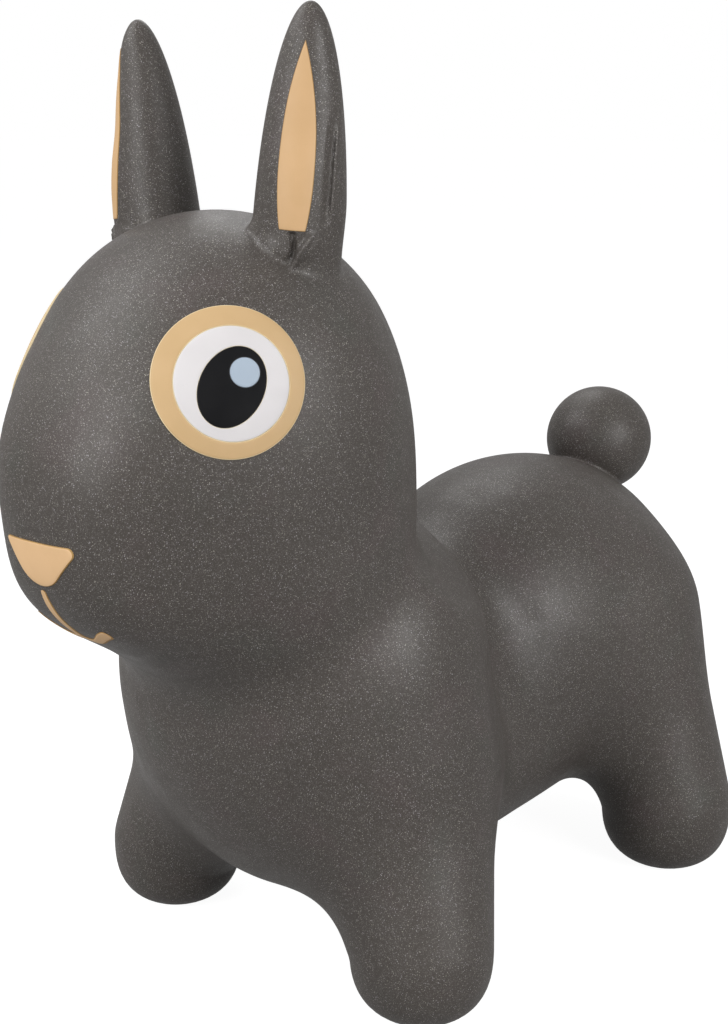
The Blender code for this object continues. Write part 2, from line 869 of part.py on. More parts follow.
def make_torso(skin, tail_inside):
    torso = part("torso_skin", skin.copy(), SKIN_COLOUR)
    cut(torso, tail_inside)
    point, normal = neck_plane()
    cut(torso, half_space("neck_lower", point - normal * seam / 2.0, normal))
    for end in ("front", "rear"):
        for label, side in SIDES:
            point, normal = leg_plane(end, side)
            cut(torso, half_space(f"{end}_{label}_torso_side", point - normal * seam / 2.0, normal))
    matrix = valve_matrix()
    recess_radius = plug_head_radius + bore_clearance
    cut(torso, cylinder("valve_boss", boss_radius, -boss_depth, boss_proud, matrix), "UNION")
    cut(torso, cylinder("valve_recess", recess_radius, boss_proud - recess_depth, overrun, matrix))
    cut(torso, cylinder("valve_bore", bore_radius, -overrun, overrun, matrix, 24))


def make_plug():
    """Plug with its flat head sunk in the valve's recess."""
    seat = boss_proud - recess_depth + seam
    stem = bore_radius - bore_clearance
    top = seat + plug_head_height
    profile = (
        (0.0, seat - plug_stem_length),
        (plug_tip_radius, seat - plug_stem_length),
        (stem, seat - plug_stem_length + plug_tip_length),
        (stem, seat),
        (plug_head_radius - plug_edge, seat),
        (plug_head_radius, seat + plug_edge),
        (plug_head_radius, top - plug_edge),
        (plug_head_radius - plug_edge, top),
        (0.0, top),
    )
    plug = part("air_plug", turned("plug_profile", profile, 24), PLUG_COLOUR, 0.4)
    plug.matrix_world = valve_matrix()


def make_hollow(name, root_name, surface, divide, normal, pivot, outside):
    """A hollow form that grows out of the body: its root at the seam, its tip, and its inside."""
    skin = shell(surface, f"{name}_shell")
    root = part(root_name, skin.copy(), SKIN_COLOUR)
    cut(root, outside)
    cut(root, half_space(f"{name}_low", divide - normal * seam / 2.0, -normal), "INTERSECT")
    tip = part(name, skin.copy(), SKIN_COLOUR)
    cut(tip, half_space(f"{name}_high", divide + normal * seam / 2.0, normal), "INTERSECT")
    move_origin(tip, pivot)
    return cutter(f"{name}_inside", grown(surface, -wall, f"{name}_inside"))


def make_ear(label, side, outside):
    bm = bmesh.new()
    radii = (ear_half_width, ear_half_depth, ear_half_length, 1.0)
    matrix = Matrix.Translation(Vector(ear_centre(side))) @ ear_turn(side).to_4x4() @ Matrix.Diagonal(radii)
    bmesh.ops.create_uvsphere(bm, u_segments=20, v_segments=16, radius=1.0, matrix=matrix)
    surface = mesh_from(bm, "ear_surface")
    point, normal = ear_base(side)
    divide = point + normal * ear_root_height
    pivot = point + normal * ear_root_height / 2.0
    return make_hollow(f"ear_{label}", f"ear_root_{label}", surface, divide, normal, pivot, outside)


def make_tail(outside):
    bm = bmesh.new()
    direction = tail_direction()
    turn = Vector(direction).to_track_quat("Z", "X").to_matrix().to_4x4()
    matrix = Matrix.Translation(Vector(tail_point(tail_radius - tail_sunk))) @ turn
    bmesh.ops.create_uvsphere(bm, u_segments=20, v_segments=12, radius=tail_radius, matrix=matrix)
    surface = mesh_from(bm, "tail_surface")
    divide = tail_point(tail_root_height)
    return make_hollow("tail", "tail_root", surface, divide, direction, tail_point(tail_root_height / 2.0), outside)


def build():
    surface = body_surface()
    skin = shell(surface, "body_shell")
    outside = cutter("body_outside", grown(surface, seam, "body_outside"))
    ears = [make_ear(label, side, outside) for label, side in SIDES]
    make_head(skin, ears)
    make_torso(skin, make_tail(outside))
    make_legs(skin)
    for label, side in SIDES:
        make_eye(label, side)
        make_ear_panel(label, side)
    make_nose()
    make_mouth()
    make_plug()


for old in list(bpy.data.objects):
    bpy.data.objects.remove(old)
parts = new_collection("bouncy_rabbit")
cutters = new_collection("cutters")
rabbit = bpy.data.objects.new("rabbit", None)
parts.objects.link(rabbit)
build()
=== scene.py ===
import math

import bmesh
import bpy
import numpy as np
from mathutils import Matrix, Vector


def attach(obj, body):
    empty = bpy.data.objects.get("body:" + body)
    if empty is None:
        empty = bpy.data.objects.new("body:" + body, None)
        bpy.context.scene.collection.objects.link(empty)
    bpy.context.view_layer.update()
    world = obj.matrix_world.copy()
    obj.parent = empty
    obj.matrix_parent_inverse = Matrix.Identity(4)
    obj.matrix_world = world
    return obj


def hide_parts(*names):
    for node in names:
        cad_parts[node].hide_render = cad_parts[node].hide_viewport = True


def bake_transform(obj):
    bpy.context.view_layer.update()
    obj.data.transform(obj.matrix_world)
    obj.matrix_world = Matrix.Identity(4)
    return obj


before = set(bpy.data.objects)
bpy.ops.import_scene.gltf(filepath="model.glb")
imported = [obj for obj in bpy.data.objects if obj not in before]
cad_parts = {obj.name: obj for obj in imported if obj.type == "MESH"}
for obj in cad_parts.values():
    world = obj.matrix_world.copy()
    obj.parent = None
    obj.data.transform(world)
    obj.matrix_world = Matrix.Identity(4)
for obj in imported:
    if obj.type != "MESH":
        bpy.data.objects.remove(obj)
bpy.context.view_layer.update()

MM = 0.001
DEG = math.pi / 180.0
SIDES = (("left", 1.0), ("right", -1.0))
ENDS = ("front", "rear")


def mm(*values):
    return tuple(value * MM for value in values)


# How finely the surfaces are made
probe_step = 0.02 * MM
skin_cell = 4.0 * MM
ball_segments = 48
smoothing_rounds = 6
sleeve_samples = 260
sleeve_smoothing = 24
skirt_dip = 0.35 * MM
skirt_sunk_rows = 4
ear_mesh = (216, 0.85 * MM, 15.0 * MM)
tail_mesh = (120, 1.6 * MM, 14.0 * MM)
paint_count = 144

# Forms of the body: centre behind the origin, height of the centre, half sizes
origin_shift = -2.7 * MM
chest = (-76.5 * MM, 178.5 * MM, mm(119.5, 99.5, 133.5))
belly = (19.0 * MM, 104.0 * MM, mm(86.5, 108.5, 64.5))
rump = (136.5 * MM, 159.5 * MM, mm(106.0, 131.5, 113.0))
torso_blend = 49.0 * MM
crown = (-138.1 * MM, 354.8 * MM, mm(98.6, 97.3, 94.1))
cheek = (-115.4 * MM, 251.7 * MM, mm(94.5, 77.3, 95.2))
muzzle = (-168.5 * MM, 295.2 * MM, mm(56.6, 89.8, 62.0))
muzzle_power = 3.1
head_blend = 66.7 * MM
neck_blend = 12.0 * MM
neck_hollow = mm(84.0, -42.0, 271.0)
neck_hollow_sizes = mm(62.0, 58.0, 52.0)
neck_hollow_depth = 19.0 * MM
neck_hollow_softness = 0.5

# Legs: a hip ball and a foot ball, side, back, height, radius
hips = {"front": mm(66.0, -67.5, 120.0, 58.2), "rear": mm(63.8, 171.5, 166.0, 47.3)}
feet = {"front": mm(104.8, -87.5, 41.3), "rear": mm(104.3, 172.5, 43.5)}
leg_blend = 34.5 * MM
sole_depth = 2.6 * MM
sole_flatness = 0.4 * MM
foot_power = 2.7
foot_height = 28.0 * MM
bounce_travel = 22.0 * MM
leg_seam_clearance = 4.0 * MM
leg_slant = {"side": 0.7, "back": 0.55}

# Tail ball
tail_radius = 37.2 * MM
tail_sunk = 10.8 * MM
tail_angle = 50.2 * DEG
tail_fillet = 4.0 * MM

# Ears, left one 1.0 and right one -1.0 where they differ
ear_side = 52.0 * MM
ear_back = -129.6 * MM
ear_height = 417.5 * MM
ear_sizes = {1.0: mm(24.4, 23.4, 134.6), -1.0: mm(24.4, 23.4, 131.0)}
ear_splay = {1.0: 5.7 * DEG, -1.0: 6.4 * DEG}
ear_lean = 0.6 * DEG
ear_facing = {1.0: 36.0 * DEG, -1.0: 33.0 * DEG}
ear_fillet = 3.2 * MM
ear_bend = mm(0.5, 18.0)

# Form of an ear's front: heights where a stretch starts, is full, fades and ends
ear_front = mm(2.0, 8.0)
ear_fullness = 1.9 * MM
ear_full_stretch = mm(4.0, 16.0, 38.0, 74.0)
ear_flatness = 1.2 * MM
ear_flat_stretch = mm(55.0, 80.0, 100.0, 124.0)
ear_front_width = 20.0 * MM
ear_taper = 1.8 * MM
ear_lobes = (mm(-16.0, -5.0, 20.0, 9.6), mm(-8.5, -13.0, 15.0, 10.2), mm(5.0, -16.5, 18.5, 8.4))
ear_lobe_blend = 3.0 * MM

# Folds of an ear: distance from the line they follow, half width, height
ear_groove = mm(15.6, 2.8, -1.5)
ear_ridge = mm(18.4, 2.4, 0.8)
ear_groove_stretch = mm(26.0, 40.0, 66.0, 84.0)
ear_slit = mm(0.0, 2.3, -3.4)
ear_slit_stretch = mm(10.5, 16.0, 24.0, 25.6)
ear_rim = mm(0.6, 2.5, 1.9)
ear_pocket = mm(-3.6, 3.4, -1.7)
ear_rim_stretch = mm(2.0, 7.0, 19.0, 27.0)

# Painted areas
paint_top = 0.8 * MM
paint_foot = -0.4 * MM
paint_edge = 0.28 * MM
paint_gap = 0.04 * MM
thin_paint = 0.45 * MM
eye_turn = 50.8 * DEG
eye_rise = 11.0 * DEG
ring_radius = 37.65 * MM
white_place = mm(1.2, -1.2)
white_radius = 28.3 * MM
pupil_place = mm(1.0, -3.1)
pupil_sizes = mm(20.8, 15.7)
pupil_tilt = 30.0 * DEG
glint_place = mm(7.6, 3.6)
glint_radius = 7.4 * MM
nose_corners = (mm(-27.2, 291.4), mm(-1.2, 259.4), mm(31.3, 293.3))
nose_radii = mm(1.6, 19.0, 3.2)
mouth_arm = (
    mm(0.0, 237.2), mm(5.0, 235.6), mm(11.0, 236.2), mm(17.0, 239.0), mm(22.5, 242.3), mm(28.4, 245.2),
)
mouth_stem = (mm(-1.6, 266.4), mm(-1.6, 260.0), mm(-1.2, 252.0), mm(-0.4, 244.0), mm(0.0, 237.2))
panel_bottom = 26.0 * MM
panel_top = 116.5 * MM
panel_half_width = 9.1 * MM
panel_spine_ends = mm(9.0, 24.0)

# Air valve
boss_radius = 12.0 * MM
boss_proud = 1.0 * MM
bore_radius = 4.3 * MM
recess_depth = 2.2 * MM
plug_radius = 9.0 * MM
plug_play = 0.3 * MM
pit_depth = 22.0 * MM
pit_rise = 4.0 * MM
pit_margin = 1.4 * MM

# Paints: two tones of the area, two of its edge, roughness and gloss. The darker edge tones of the tan
# paints are partly pooled paint and partly painted shade along the raised edge.
paint_tones = {
    "tan": ((0.635, 0.405, 0.205), (0.67, 0.43, 0.225), (0.36, 0.20, 0.06), (0.42, 0.25, 0.09), 0.55, 0.4),
    # The eye ring's tan is a darker copy of the tan paint: painted shade that tones the ring down where more
    # light falls. Its pale yellow edge is the paint's own overlap.
    "ring": ((0.575, 0.388, 0.195), (0.605, 0.41, 0.212), (0.80, 0.64, 0.38), (0.84, 0.69, 0.43), 0.55, 0.4),
    # The nose's and mouth's tan is a lighter copy of the tan paint: painted light that makes up for the
    # light falling short under the muzzle.
    "tan_painted_light": ((0.80, 0.52, 0.275), (0.84, 0.55, 0.30), (0.40, 0.22, 0.07), (0.46, 0.28, 0.1), 0.55, 0.4),
    "white": ((0.68, 0.655, 0.66), (0.71, 0.685, 0.69), (0.70, 0.62, 0.46), (0.74, 0.66, 0.50), 0.5, 0.4),
    "black": ((0.008, 0.008, 0.009), (0.011, 0.011, 0.012), (0.014, 0.013, 0.013), (0.02, 0.018, 0.018),
              0.6, 0.08),
    "glint": ((0.38, 0.455, 0.545), (0.40, 0.48, 0.57), (0.25, 0.30, 0.36), (0.30, 0.35, 0.42), 0.5, 0.4),
}
edge_roughness = 0.6
edge_gloss = 0.4

# Studio: lamps with place, target, size and power, and how bright floor and world are
lamps = {
    "left_softbox": ((-0.81, -0.74, 1.5), (0.0, 0.0, 0.25), 1.0, 11.5),
    "right_softbox": ((1.55, -0.08, 0.8), (0.0, 0.0, 0.25), 0.9, 17.0),
    "front_softbox": ((0.0, -1.6, 0.9), (0.0, 0.0, 0.25), 0.9, 14.5),
    "back_softbox": ((-0.58, 0.5, 1.24), (0.0, -0.15, 0.4), 0.7, 4.0),
}
floor_size = 30.0
floor_grey = 0.26
floor_seen = 0.95
floor_mirrored = 0.25
world_seen = 1.0
world_mirrored = 0.5
world_light = 0.2
camera_place = (0.6266, -0.7104, 0.4959)
camera_target = (-0.0108, -0.0122, 0.2590)
camera_lens = 55.31


# Smooth fields: negative inside a form, positive outside, in metres


def size_of(vectors):
    return np.sqrt((vectors**2).sum(-1))


def unit(vectors):
    return vectors / np.maximum(size_of(vectors), 1e-12)[..., None]


def ellipsoid(points, centre, radii):
    scaled = (points - centre) / radii
    size = size_of(scaled) + 1e-9
    slope = size_of(scaled / radii) + 1e-9
    return size * (size - 1.0) / slope


def squared_ellipsoid(points, centre, radii, power):
    """Like an ellipsoid, but flatter in front and at its sides."""
    scaled = np.abs((points - centre) / radii) + 1e-9
    size = (scaled**power).sum(-1) ** (1.0 / power)
    slope = size_of(scaled ** (power - 1.0) / radii) * size ** (1.0 - power)
    return (size - 1.0) / slope


def round_cone(points, top, bottom, top_radius, bottom_radius):
    axis = bottom - top
    length = size_of(axis)
    axis = axis / length
    sine = (top_radius - bottom_radius) / length
    cosine = math.sqrt(max(1.0 - sine * sine, 0.0))
    offset = points - top
    along = offset @ axis
    across = np.sqrt(np.maximum(size_of(offset) ** 2 - along**2, 0.0))
    foot = along - across * sine / max(cosine, 1e-9)
    cone = across * cosine + along * sine - top_radius
    top_ball = size_of(offset) - top_radius
    bottom_ball = size_of(points - bottom) - bottom_radius
    lower = np.where(foot > length, bottom_ball, cone)
    return np.where(foot < 0.0, top_ball, lower)


def foot_form(points, foot, radius):
    """A ball that is squarer below its middle, with a fuller edge round the sole."""
    offset = points - foot
    across = size_of(offset[..., :2]) + 1e-9
    height = offset[..., 2]
    power = np.where(height < 0.0, foot_power, 2.0)
    return (across**power + np.abs(height) ** power) ** (1.0 / power) - radius


def melt(first, second, width):
    """Joins two fields with a fillet about as wide as width."""
    share = np.maximum(width - np.abs(first - second), 0.0) / width
    return np.minimum(first, second) - share * share * width * 0.25


def folded(points):
    """The matching places on the left half, as both halves are alike."""
    return np.abs(points * (1.0, 0.0, 0.0)) + points * (0.0, 1.0, 1.0)


def place(back, height, side=0.0):
    return np.array((side, back + origin_shift, height))


def leg_ends(end, side):
    hip_side, hip_back, hip_height, hip_radius = hips[end]
    foot_side, foot_back, foot_radius = feet[end]
    hip = place(hip_back, hip_height, side * hip_side)
    foot = place(foot_back, foot_radius - sole_depth, side * foot_side)
    return hip, hip_radius, foot, foot_radius


def joined(points, forms, width):
    field = None
    for back, height, radii in forms:
        form = ellipsoid(points, place(back, height), np.array(radii))
        field = form if field is None else melt(field, form, width)
    return field


def torso_field(points):
    field = joined(points, (chest, rump, belly), torso_blend)
    left = folded(points)
    for end in ENDS:
        hip, hip_radius, foot, foot_radius = leg_ends(end, 1.0)
        leg = round_cone(left, hip, foot, hip_radius, foot_radius)
        leg = np.minimum(leg, foot_form(left, foot, foot_radius))
        field = melt(field, leg, leg_blend)
    return field


def head_field(points):
    back, height, radii = muzzle
    front = squared_ellipsoid(points, place(back, height), np.array(radii), muzzle_power)
    return melt(joined(points, (crown, cheek), head_blend), front, head_blend)


def neck_fold(points):
    """Depth of the hollow behind the head, which runs out softly at the middle of the back."""
    offset = folded(points) - np.array(neck_hollow)
    inward = (offset[..., :1] < 0.0) * (1.0, 0.0, 0.0)
    offset = offset * (1.0 - inward * (1.0 - neck_hollow_softness))
    return neck_hollow_depth * bump(size_of(offset / np.array(neck_hollow_sizes)), 1.0)


def body_field(points):
    return melt(torso_field(points) + neck_fold(points), head_field(points), neck_blend)


def slopes(field, points):
    columns = []
    for step in np.eye(3) * probe_step:
        columns.append(field(points + step) - field(points - step))
    return np.stack(columns, -1) / (2.0 * probe_step)


def gradient(field, points):
    return unit(slopes(field, points))


def settle(field, points, level=0.0, rounds=5):
    """Moves points along the field's slope until they lie at its level."""
    for _ in range(rounds):
        slope = slopes(field, points)
        steepness = np.maximum((slope**2).sum(-1), 0.5)
        points = points - slope * ((field(points) - level) / steepness)[:, None]
    return points


def slide(field, points, direction, level):
    """Slides points along one direction until they lie at the field's level, or each at its own."""
    for _ in range(14):
        slope = gradient(field, points) @ direction
        slope = np.where(np.abs(slope) < 0.2, np.copysign(0.2, slope), slope)
        points = points - direction * ((field(points) - level) / slope)[:, None]
    return points


def bump(value, width):
    """A smooth hill, 1 at zero and 0 from width on."""
    return np.maximum(1.0 - (value / width) ** 2, 0.0) ** 2


def ramp(value, start, end):
    """0 before start, 1 after end, smooth between."""
    share = np.clip((value - start) / (end - start), 0.0, 1.0)
    return share * share * (3.0 - 2.0 * share)


# Ears


def ear_turn(side):
    """The ear's own axes: Z up the ear, -Y out of the painted panel."""
    splay = Matrix.Rotation(side * ear_splay[side], 3, "Y")
    lean = Matrix.Rotation(ear_lean, 3, "X")
    facing = Matrix.Rotation(side * ear_facing[side], 3, "Z")
    return np.array(splay @ lean @ facing)


def ear_centre(side):
    return place(ear_back, ear_height, side * ear_side)


def stretch(height, limits):
    """1 along a stretch of the ear, running out smoothly at both its ends."""
    start, full, fading, end = limits
    return ramp(height, start, full) * (1.0 - ramp(height, fading, end))


def crease(distance, fold):
    """Height of a groove or ridge beside the line that it follows."""
    middle, half_width, height = fold
    return height * bump(distance - middle, half_width)


def ear_relief(local, side):
    """Height of the folds of an ear, in the ear's own axes."""
    out = local[:, 0] * side
    up = local[:, 2]
    front = ramp(-local[:, 1], *ear_front)
    grooves = (crease(out, ear_groove) + crease(out, ear_ridge)) * stretch(up, ear_groove_stretch)
    slit_line = 0.2 * MM + (25.0 * MM - up) * 0.09
    slit = crease(out - slit_line, ear_slit) * stretch(up, ear_slit_stretch)
    rim_line = 0.4 * MM + (up - 6.5 * MM) * 0.5
    pinch = crease(out - rim_line, ear_rim) + crease(out - rim_line, ear_pocket)
    return (grooves + slit + pinch * stretch(up, ear_rim_stretch)) * front


def smooth_ear(side):
    """The ear alone, with the lobes at its foot but without its folds."""
    turn = ear_turn(side)
    centre = ear_centre(side)

    def field(points):
        local = (points - centre) @ turn
        ear = ellipsoid(local, np.zeros(3), np.array(ear_sizes[side]))
        front = ramp(-local[:, 1], *ear_front)
        up = local[:, 2]
        change = ear_flatness * stretch(up, ear_flat_stretch) - ear_fullness * stretch(up, ear_full_stretch)
        ear = ear + change * bump(local[:, 0], ear_front_width) * front
        if side > 0.0:
            taper = (1.0 - ramp(up, 8.0 * MM, 40.0 * MM)) * ramp(local[:, 0], 6.0 * MM, 18.0 * MM)
            ear = ear + ear_taper * taper
        for out, back, height, radius in ear_lobes:
            lobe = np.array((out * side, back, height))
            ear = melt(ear, size_of(local - lobe) - radius, ear_lobe_blend)
        return ear

    return field


def ear_field(side):
    """The ear with its folds, grown out of the body."""
    turn = ear_turn(side)
    centre = ear_centre(side)
    smooth = smooth_ear(side)

    def field(points):
        ear = smooth(points) - ear_relief((points - centre) @ turn, side)
        return melt(body_field(points), ear, ear_fillet)

    return field


# Tail


def tail_direction():
    return np.array((0.0, math.cos(tail_angle), math.sin(tail_angle)))


def tail_point(height):
    """A point on the tail's axis, so far out of the rump."""
    direction = tail_direction()
    back, up, radii = rump
    reach = 1.0 / size_of(direction / np.array(radii))
    return place(back, up) + direction * (reach + height)


def tail_field(points):
    ball = size_of(points - tail_point(tail_radius - tail_sunk)) - tail_radius
    return melt(body_field(points), ball, tail_fillet)


# Meshes


def add_object(name, mesh, *materials):
    obj = bpy.data.objects.new(name, mesh)
    bpy.context.scene.collection.objects.link(obj)
    for used in materials:
        mesh.materials.append(used)
    return obj


def grid_mesh(name, points, faces):
    mesh = bpy.data.meshes.new(name)
    mesh.from_pydata([tuple(p) for p in points.tolist()], [], faces)
    mesh.validate()
    mesh.shade_smooth()
    return mesh


def quad(row, i, j, count):
    """The face between two neighbouring rows of count points each."""
    return row * count + i, row * count + j, (row + 1) * count + j, (row + 1) * count + i


def closed_rows(rows, count):
    """Faces between rows of count points, each row a closed loop."""
    return [quad(row, i, (i + 1) % count, count) for row in range(rows - 1) for i in range(count)]


def evaluated(obj):
    bpy.context.view_layer.update()
    graph = bpy.context.evaluated_depsgraph_get()
    return bpy.data.meshes.new_from_object(obj.evaluated_get(graph))


def taken(bm):
    return np.array([vertex.co for vertex in bm.verts])


def put(bm, points):
    for vertex, point in zip(bm.verts, points.tolist()):
        vertex.co = point


def mesh_from(bm, name):
    mesh = bpy.data.meshes.new(name)
    bm.to_mesh(mesh)
    bm.free()
    return mesh


def divide(bm, point, normal, clear_inner=False):
    everything = list(bm.verts) + list(bm.edges) + list(bm.faces)
    bmesh.ops.bisect_plane(
        bm, geom=everything, dist=probe_step, plane_co=point, plane_no=normal, clear_inner=clear_inner,
    )


def add_ball(bm, centre, radii):
    matrix = Matrix.Translation(Vector(centre)) @ Matrix.Diagonal((*radii, 1.0))
    bmesh.ops.create_uvsphere(bm, u_segments=ball_segments, v_segments=32, radius=1.0, matrix=matrix)


def rough_mesh():
    """Plain balls and cones in the places of all forms, made one surface."""
    bm = bmesh.new()
    for back, height, radii in (chest, belly, rump, crown, cheek, muzzle):
        add_ball(bm, place(back, height), radii)
    for end in ENDS:
        for _, side in SIDES:
            hip, hip_radius, foot, foot_radius = leg_ends(end, side)
            add_ball(bm, hip, (hip_radius,) * 3)
            add_ball(bm, foot, (foot_radius,) * 3)
            axis = Vector(foot - hip)
            middle = Matrix.Translation(Vector(hip + foot) / 2.0)
            matrix = middle @ axis.to_track_quat("Z", "Y").to_matrix().to_4x4()
            bmesh.ops.create_cone(
                bm, cap_ends=True, segments=ball_segments, radius1=hip_radius, radius2=foot_radius,
                depth=axis.length, matrix=matrix,
            )
    forms = add_object("forms", mesh_from(bm, "forms"))
    remesh = forms.modifiers.new("one_surface", "REMESH")
    remesh.mode = "VOXEL"
    remesh.voxel_size = skin_cell
    surface = evaluated(forms)
    bpy.data.objects.remove(forms)
    return surface


def closed_mesh():
    """The closed skin of torso, head and legs, flat at the soles."""
    bm = bmesh.new()
    bm.from_mesh(rough_mesh())
    put(bm, settle(body_field, taken(bm), rounds=4))
    for _ in range(smoothing_rounds):
        bmesh.ops.smooth_vert(
            bm, verts=bm.verts, factor=0.5, use_axis_x=True, use_axis_y=True, use_axis_z=True,
        )
        put(bm, settle(body_field, taken(bm), rounds=2))
    points = settle(body_field, taken(bm))
    points[:, 2] = np.where(np.abs(points[:, 2]) < sole_flatness, 0.0, points[:, 2])
    put(bm, points)
    divide(bm, (0.0, 0.0, 0.0), (0.0, 0.0, 1.0), clear_inner=True)
    rims = [edge for edge in bm.edges if edge.is_boundary]
    bmesh.ops.holes_fill(bm, edges=rims, sides=0)
    bmesh.ops.recalc_face_normals(bm, faces=bm.faces)
    return mesh_from(bm, "closed")


def body_mesh():
    """The closed skin with a pit for the valve."""
    holder = add_object("closed", closed_mesh())
    pit = bmesh.new()
    radius = boss_radius - pit_margin
    bmesh.ops.create_cone(
        pit, cap_ends=True, segments=ball_segments, radius1=radius, radius2=radius, depth=pit_depth,
        matrix=valve_matrix() @ Matrix.Translation((0.0, 0.0, pit_rise)),
    )
    cutter = add_object("pit", mesh_from(pit, "pit"))
    cut = holder.modifiers.new("pit", "BOOLEAN")
    cut.operation = "DIFFERENCE"
    cut.solver = "EXACT"
    cut.object = cutter
    made = evaluated(holder)
    bpy.data.objects.remove(holder)
    bpy.data.objects.remove(cutter)
    return made


def leg_plane(end, side):
    """The slanted place above a leg where it joins the body, and its direction to the foot."""
    _, _, foot, radius = leg_ends(end, side)
    towards_middle = 1.0 if end == "front" else -1.0
    point = foot + np.array((-side * radius, towards_middle * radius, 0.0))
    point[2] = foot_height + bounce_travel + leg_seam_clearance
    normal = np.array((side * leg_slant["side"], -towards_middle * leg_slant["back"], -1.0))
    return point, unit(normal)


def valve_matrix():
    """Z out of the valve, with z = 0 on the skin."""
    back, height, radii = rump
    point = slide(torso_field, place(back + radii[1], height)[None], np.array((0.0, 1.0, 0.0)), 0.0)[0]
    return Matrix.Translation(Vector(point)) @ Matrix.Rotation(-90.0 * DEG, 4, "X")


def make_skin(skin):
    """Divides the skin into the body and four legs that meet without a step."""
    bm = bmesh.new()
    bm.from_mesh(body_mesh())
    planes = {}
    for end in ENDS:
        for label, side in SIDES:
            planes[f"{end}_{label}"] = leg_plane(end, side)
    for point, normal in planes.values():
        divide(bm, point, normal)
    bm.verts.index_update()
    points = taken(bm)
    normals = gradient(body_field, points)
    valve = valve_matrix()
    groups = {name: [] for name in (*planes, "body")}
    for face in bm.faces:
        centre = np.array(face.calc_center_median())
        owner = "body"
        for name, (point, normal) in planes.items():
            if (centre - point) @ normal > 0.0:
                owner = name
        sole = centre[2] < 0.01 * MM
        near_valve = (Vector(centre) - valve.translation).length < 2.0 * boss_radius
        pit_wall = near_valve and abs(body_field(centre[None])[0]) > 0.3 * MM
        flat = tuple(face.normal) if sole or pit_wall else None
        groups[owner].append(([vertex.index for vertex in face.verts], flat))
    bm.free()

    pieces = {}
    for owner, faces in groups.items():
        used = sorted({i for face, _ in faces for i in face})
        place_of = {old: new for new, old in enumerate(used)}
        name = "skin_body" if owner == "body" else f"skin_leg_{owner}"
        mesh = bpy.data.meshes.new(name)
        places = [tuple(point) for point in points[used].tolist()]
        mesh.from_pydata(places, [], [[place_of[i] for i in face] for face, _ in faces])
        mesh.shade_smooth()
        corners = []
        for face, flat in faces:
            corners.extend(flat if flat else tuple(normals[i]) for i in face)
        mesh.normals_split_custom_set(corners)
        pieces[owner] = add_object(name, mesh, skin)

    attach(pieces["body"], "body")
    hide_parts("torso_skin", "head_skin")
    for name, (point, normal) in planes.items():
        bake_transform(pieces[name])
        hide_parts(f"leg_{name}", f"foot_{name}")


def sleeve(name, field, form_points, skin, columns, cell, skirt):
    """A form that grows out of the body, with a skirt that runs out under the body's skin.

    form_points(share) gives one ring of points round the form, from its buried foot at
    share 0 to its tip at share 1."""
    samples = np.stack([form_points(share) for share in np.linspace(0.0, 1.0, sleeve_samples)])
    depth = body_field(samples.reshape(-1, 3)).reshape(samples.shape[:2])
    starts = np.array([np.argmax(depth[:, j] > 0.0) for j in range(columns)]).astype(float)
    for j in range(columns):
        i = int(starts[j])
        low, high = depth[i - 1, j], depth[i, j]
        starts[j] = (i - 1 + low / (low - high)) / (sleeve_samples - 1.0)
    foot = np.stack([form_points(starts[j])[j] for j in range(columns)])
    longest = size_of(np.diff(samples, axis=0)).sum(0).max()
    rows = int(longest * (1.0 - starts.min()) / cell)
    body = []
    for row in range(1, rows):
        shares = starts + (1.0 - starts) * row / rows
        body.append(np.stack([form_points(shares[j])[j] for j in range(columns)]))
    tip = form_points(1.0).mean(0)

    head_normal = gradient(body_field, foot)
    outward = foot - foot.mean(0)
    outward = unit(outward - head_normal * (outward * head_normal).sum(1)[:, None])
    steps = int(skirt / cell)
    below = []
    for step in range(steps, 0, -1):
        below.append(settle(body_field, foot + outward * cell * step, rounds=4))
    grid = np.stack(below + [foot] + body)
    near = 2 * steps
    for _ in range(sleeve_smoothing):
        moved = (grid[:-2] + grid[2:]) * 0.25 + grid[1:-1] * 0.5
        grid[1:near] = moved[: near - 1]
        flat = settle(field, grid[: near + 1].reshape(-1, 3), rounds=1)
        grid[: near + 1] = flat.reshape(near + 1, columns, 3)
    count = len(grid)
    points = settle(field, np.concatenate((grid.reshape(-1, 3), tip[None])), rounds=3)
    normals = gradient(field, points)
    sink = np.zeros(len(points))
    for row in range(skirt_sunk_rows):
        sink[row * columns:(row + 1) * columns] = skirt_dip * (1.0 - row / skirt_sunk_rows)
    points = points - normals * sink[:, None]
    faces = closed_rows(count, columns)
    last = (count - 1) * columns
    for j in range(columns):
        faces.append((last + j, last + (j + 1) % columns, len(points) - 1))
    mesh = grid_mesh(name, points, faces)
    mesh.normals_split_custom_set_from_vertices([tuple(normal) for normal in normals.tolist()])
    return add_object(name, mesh, skin)


def make_ear(label, side, skin):
    turn = ear_turn(side)
    centre = ear_centre(side)
    width, depth, height = ear_sizes[side]
    columns, cell, skirt = ear_mesh
    angle = np.arange(columns) * 2.0 * math.pi / columns

    def ring(share):
        polar = math.pi * 0.62 * (1.0 - share)
        local = np.stack((
            width * math.sin(polar) * np.cos(angle),
            depth * math.sin(polar) * np.sin(angle),
            np.full(columns, height * math.cos(polar)),
        ), 1)
        return centre + local @ turn.T

    ear = sleeve(f"skin_ear_{label}", ear_field(side), ring, skin, columns, cell, skirt)
    start, end = ear_bend_line(side)
    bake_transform(ear)
    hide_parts(f"ear_root_{label}", f"ear_{label}")


def ear_bend_line(side):
    """From where to where the ear bends, along the head's normal at its foot."""
    axis = ear_turn(side)[:, 2]
    point = slide(head_field, ear_centre(side)[None], axis, 0.0)[0]
    normal = gradient(head_field, point[None])[0]
    return tuple(point + normal * ear_bend[0]), tuple(point + normal * ear_bend[1])


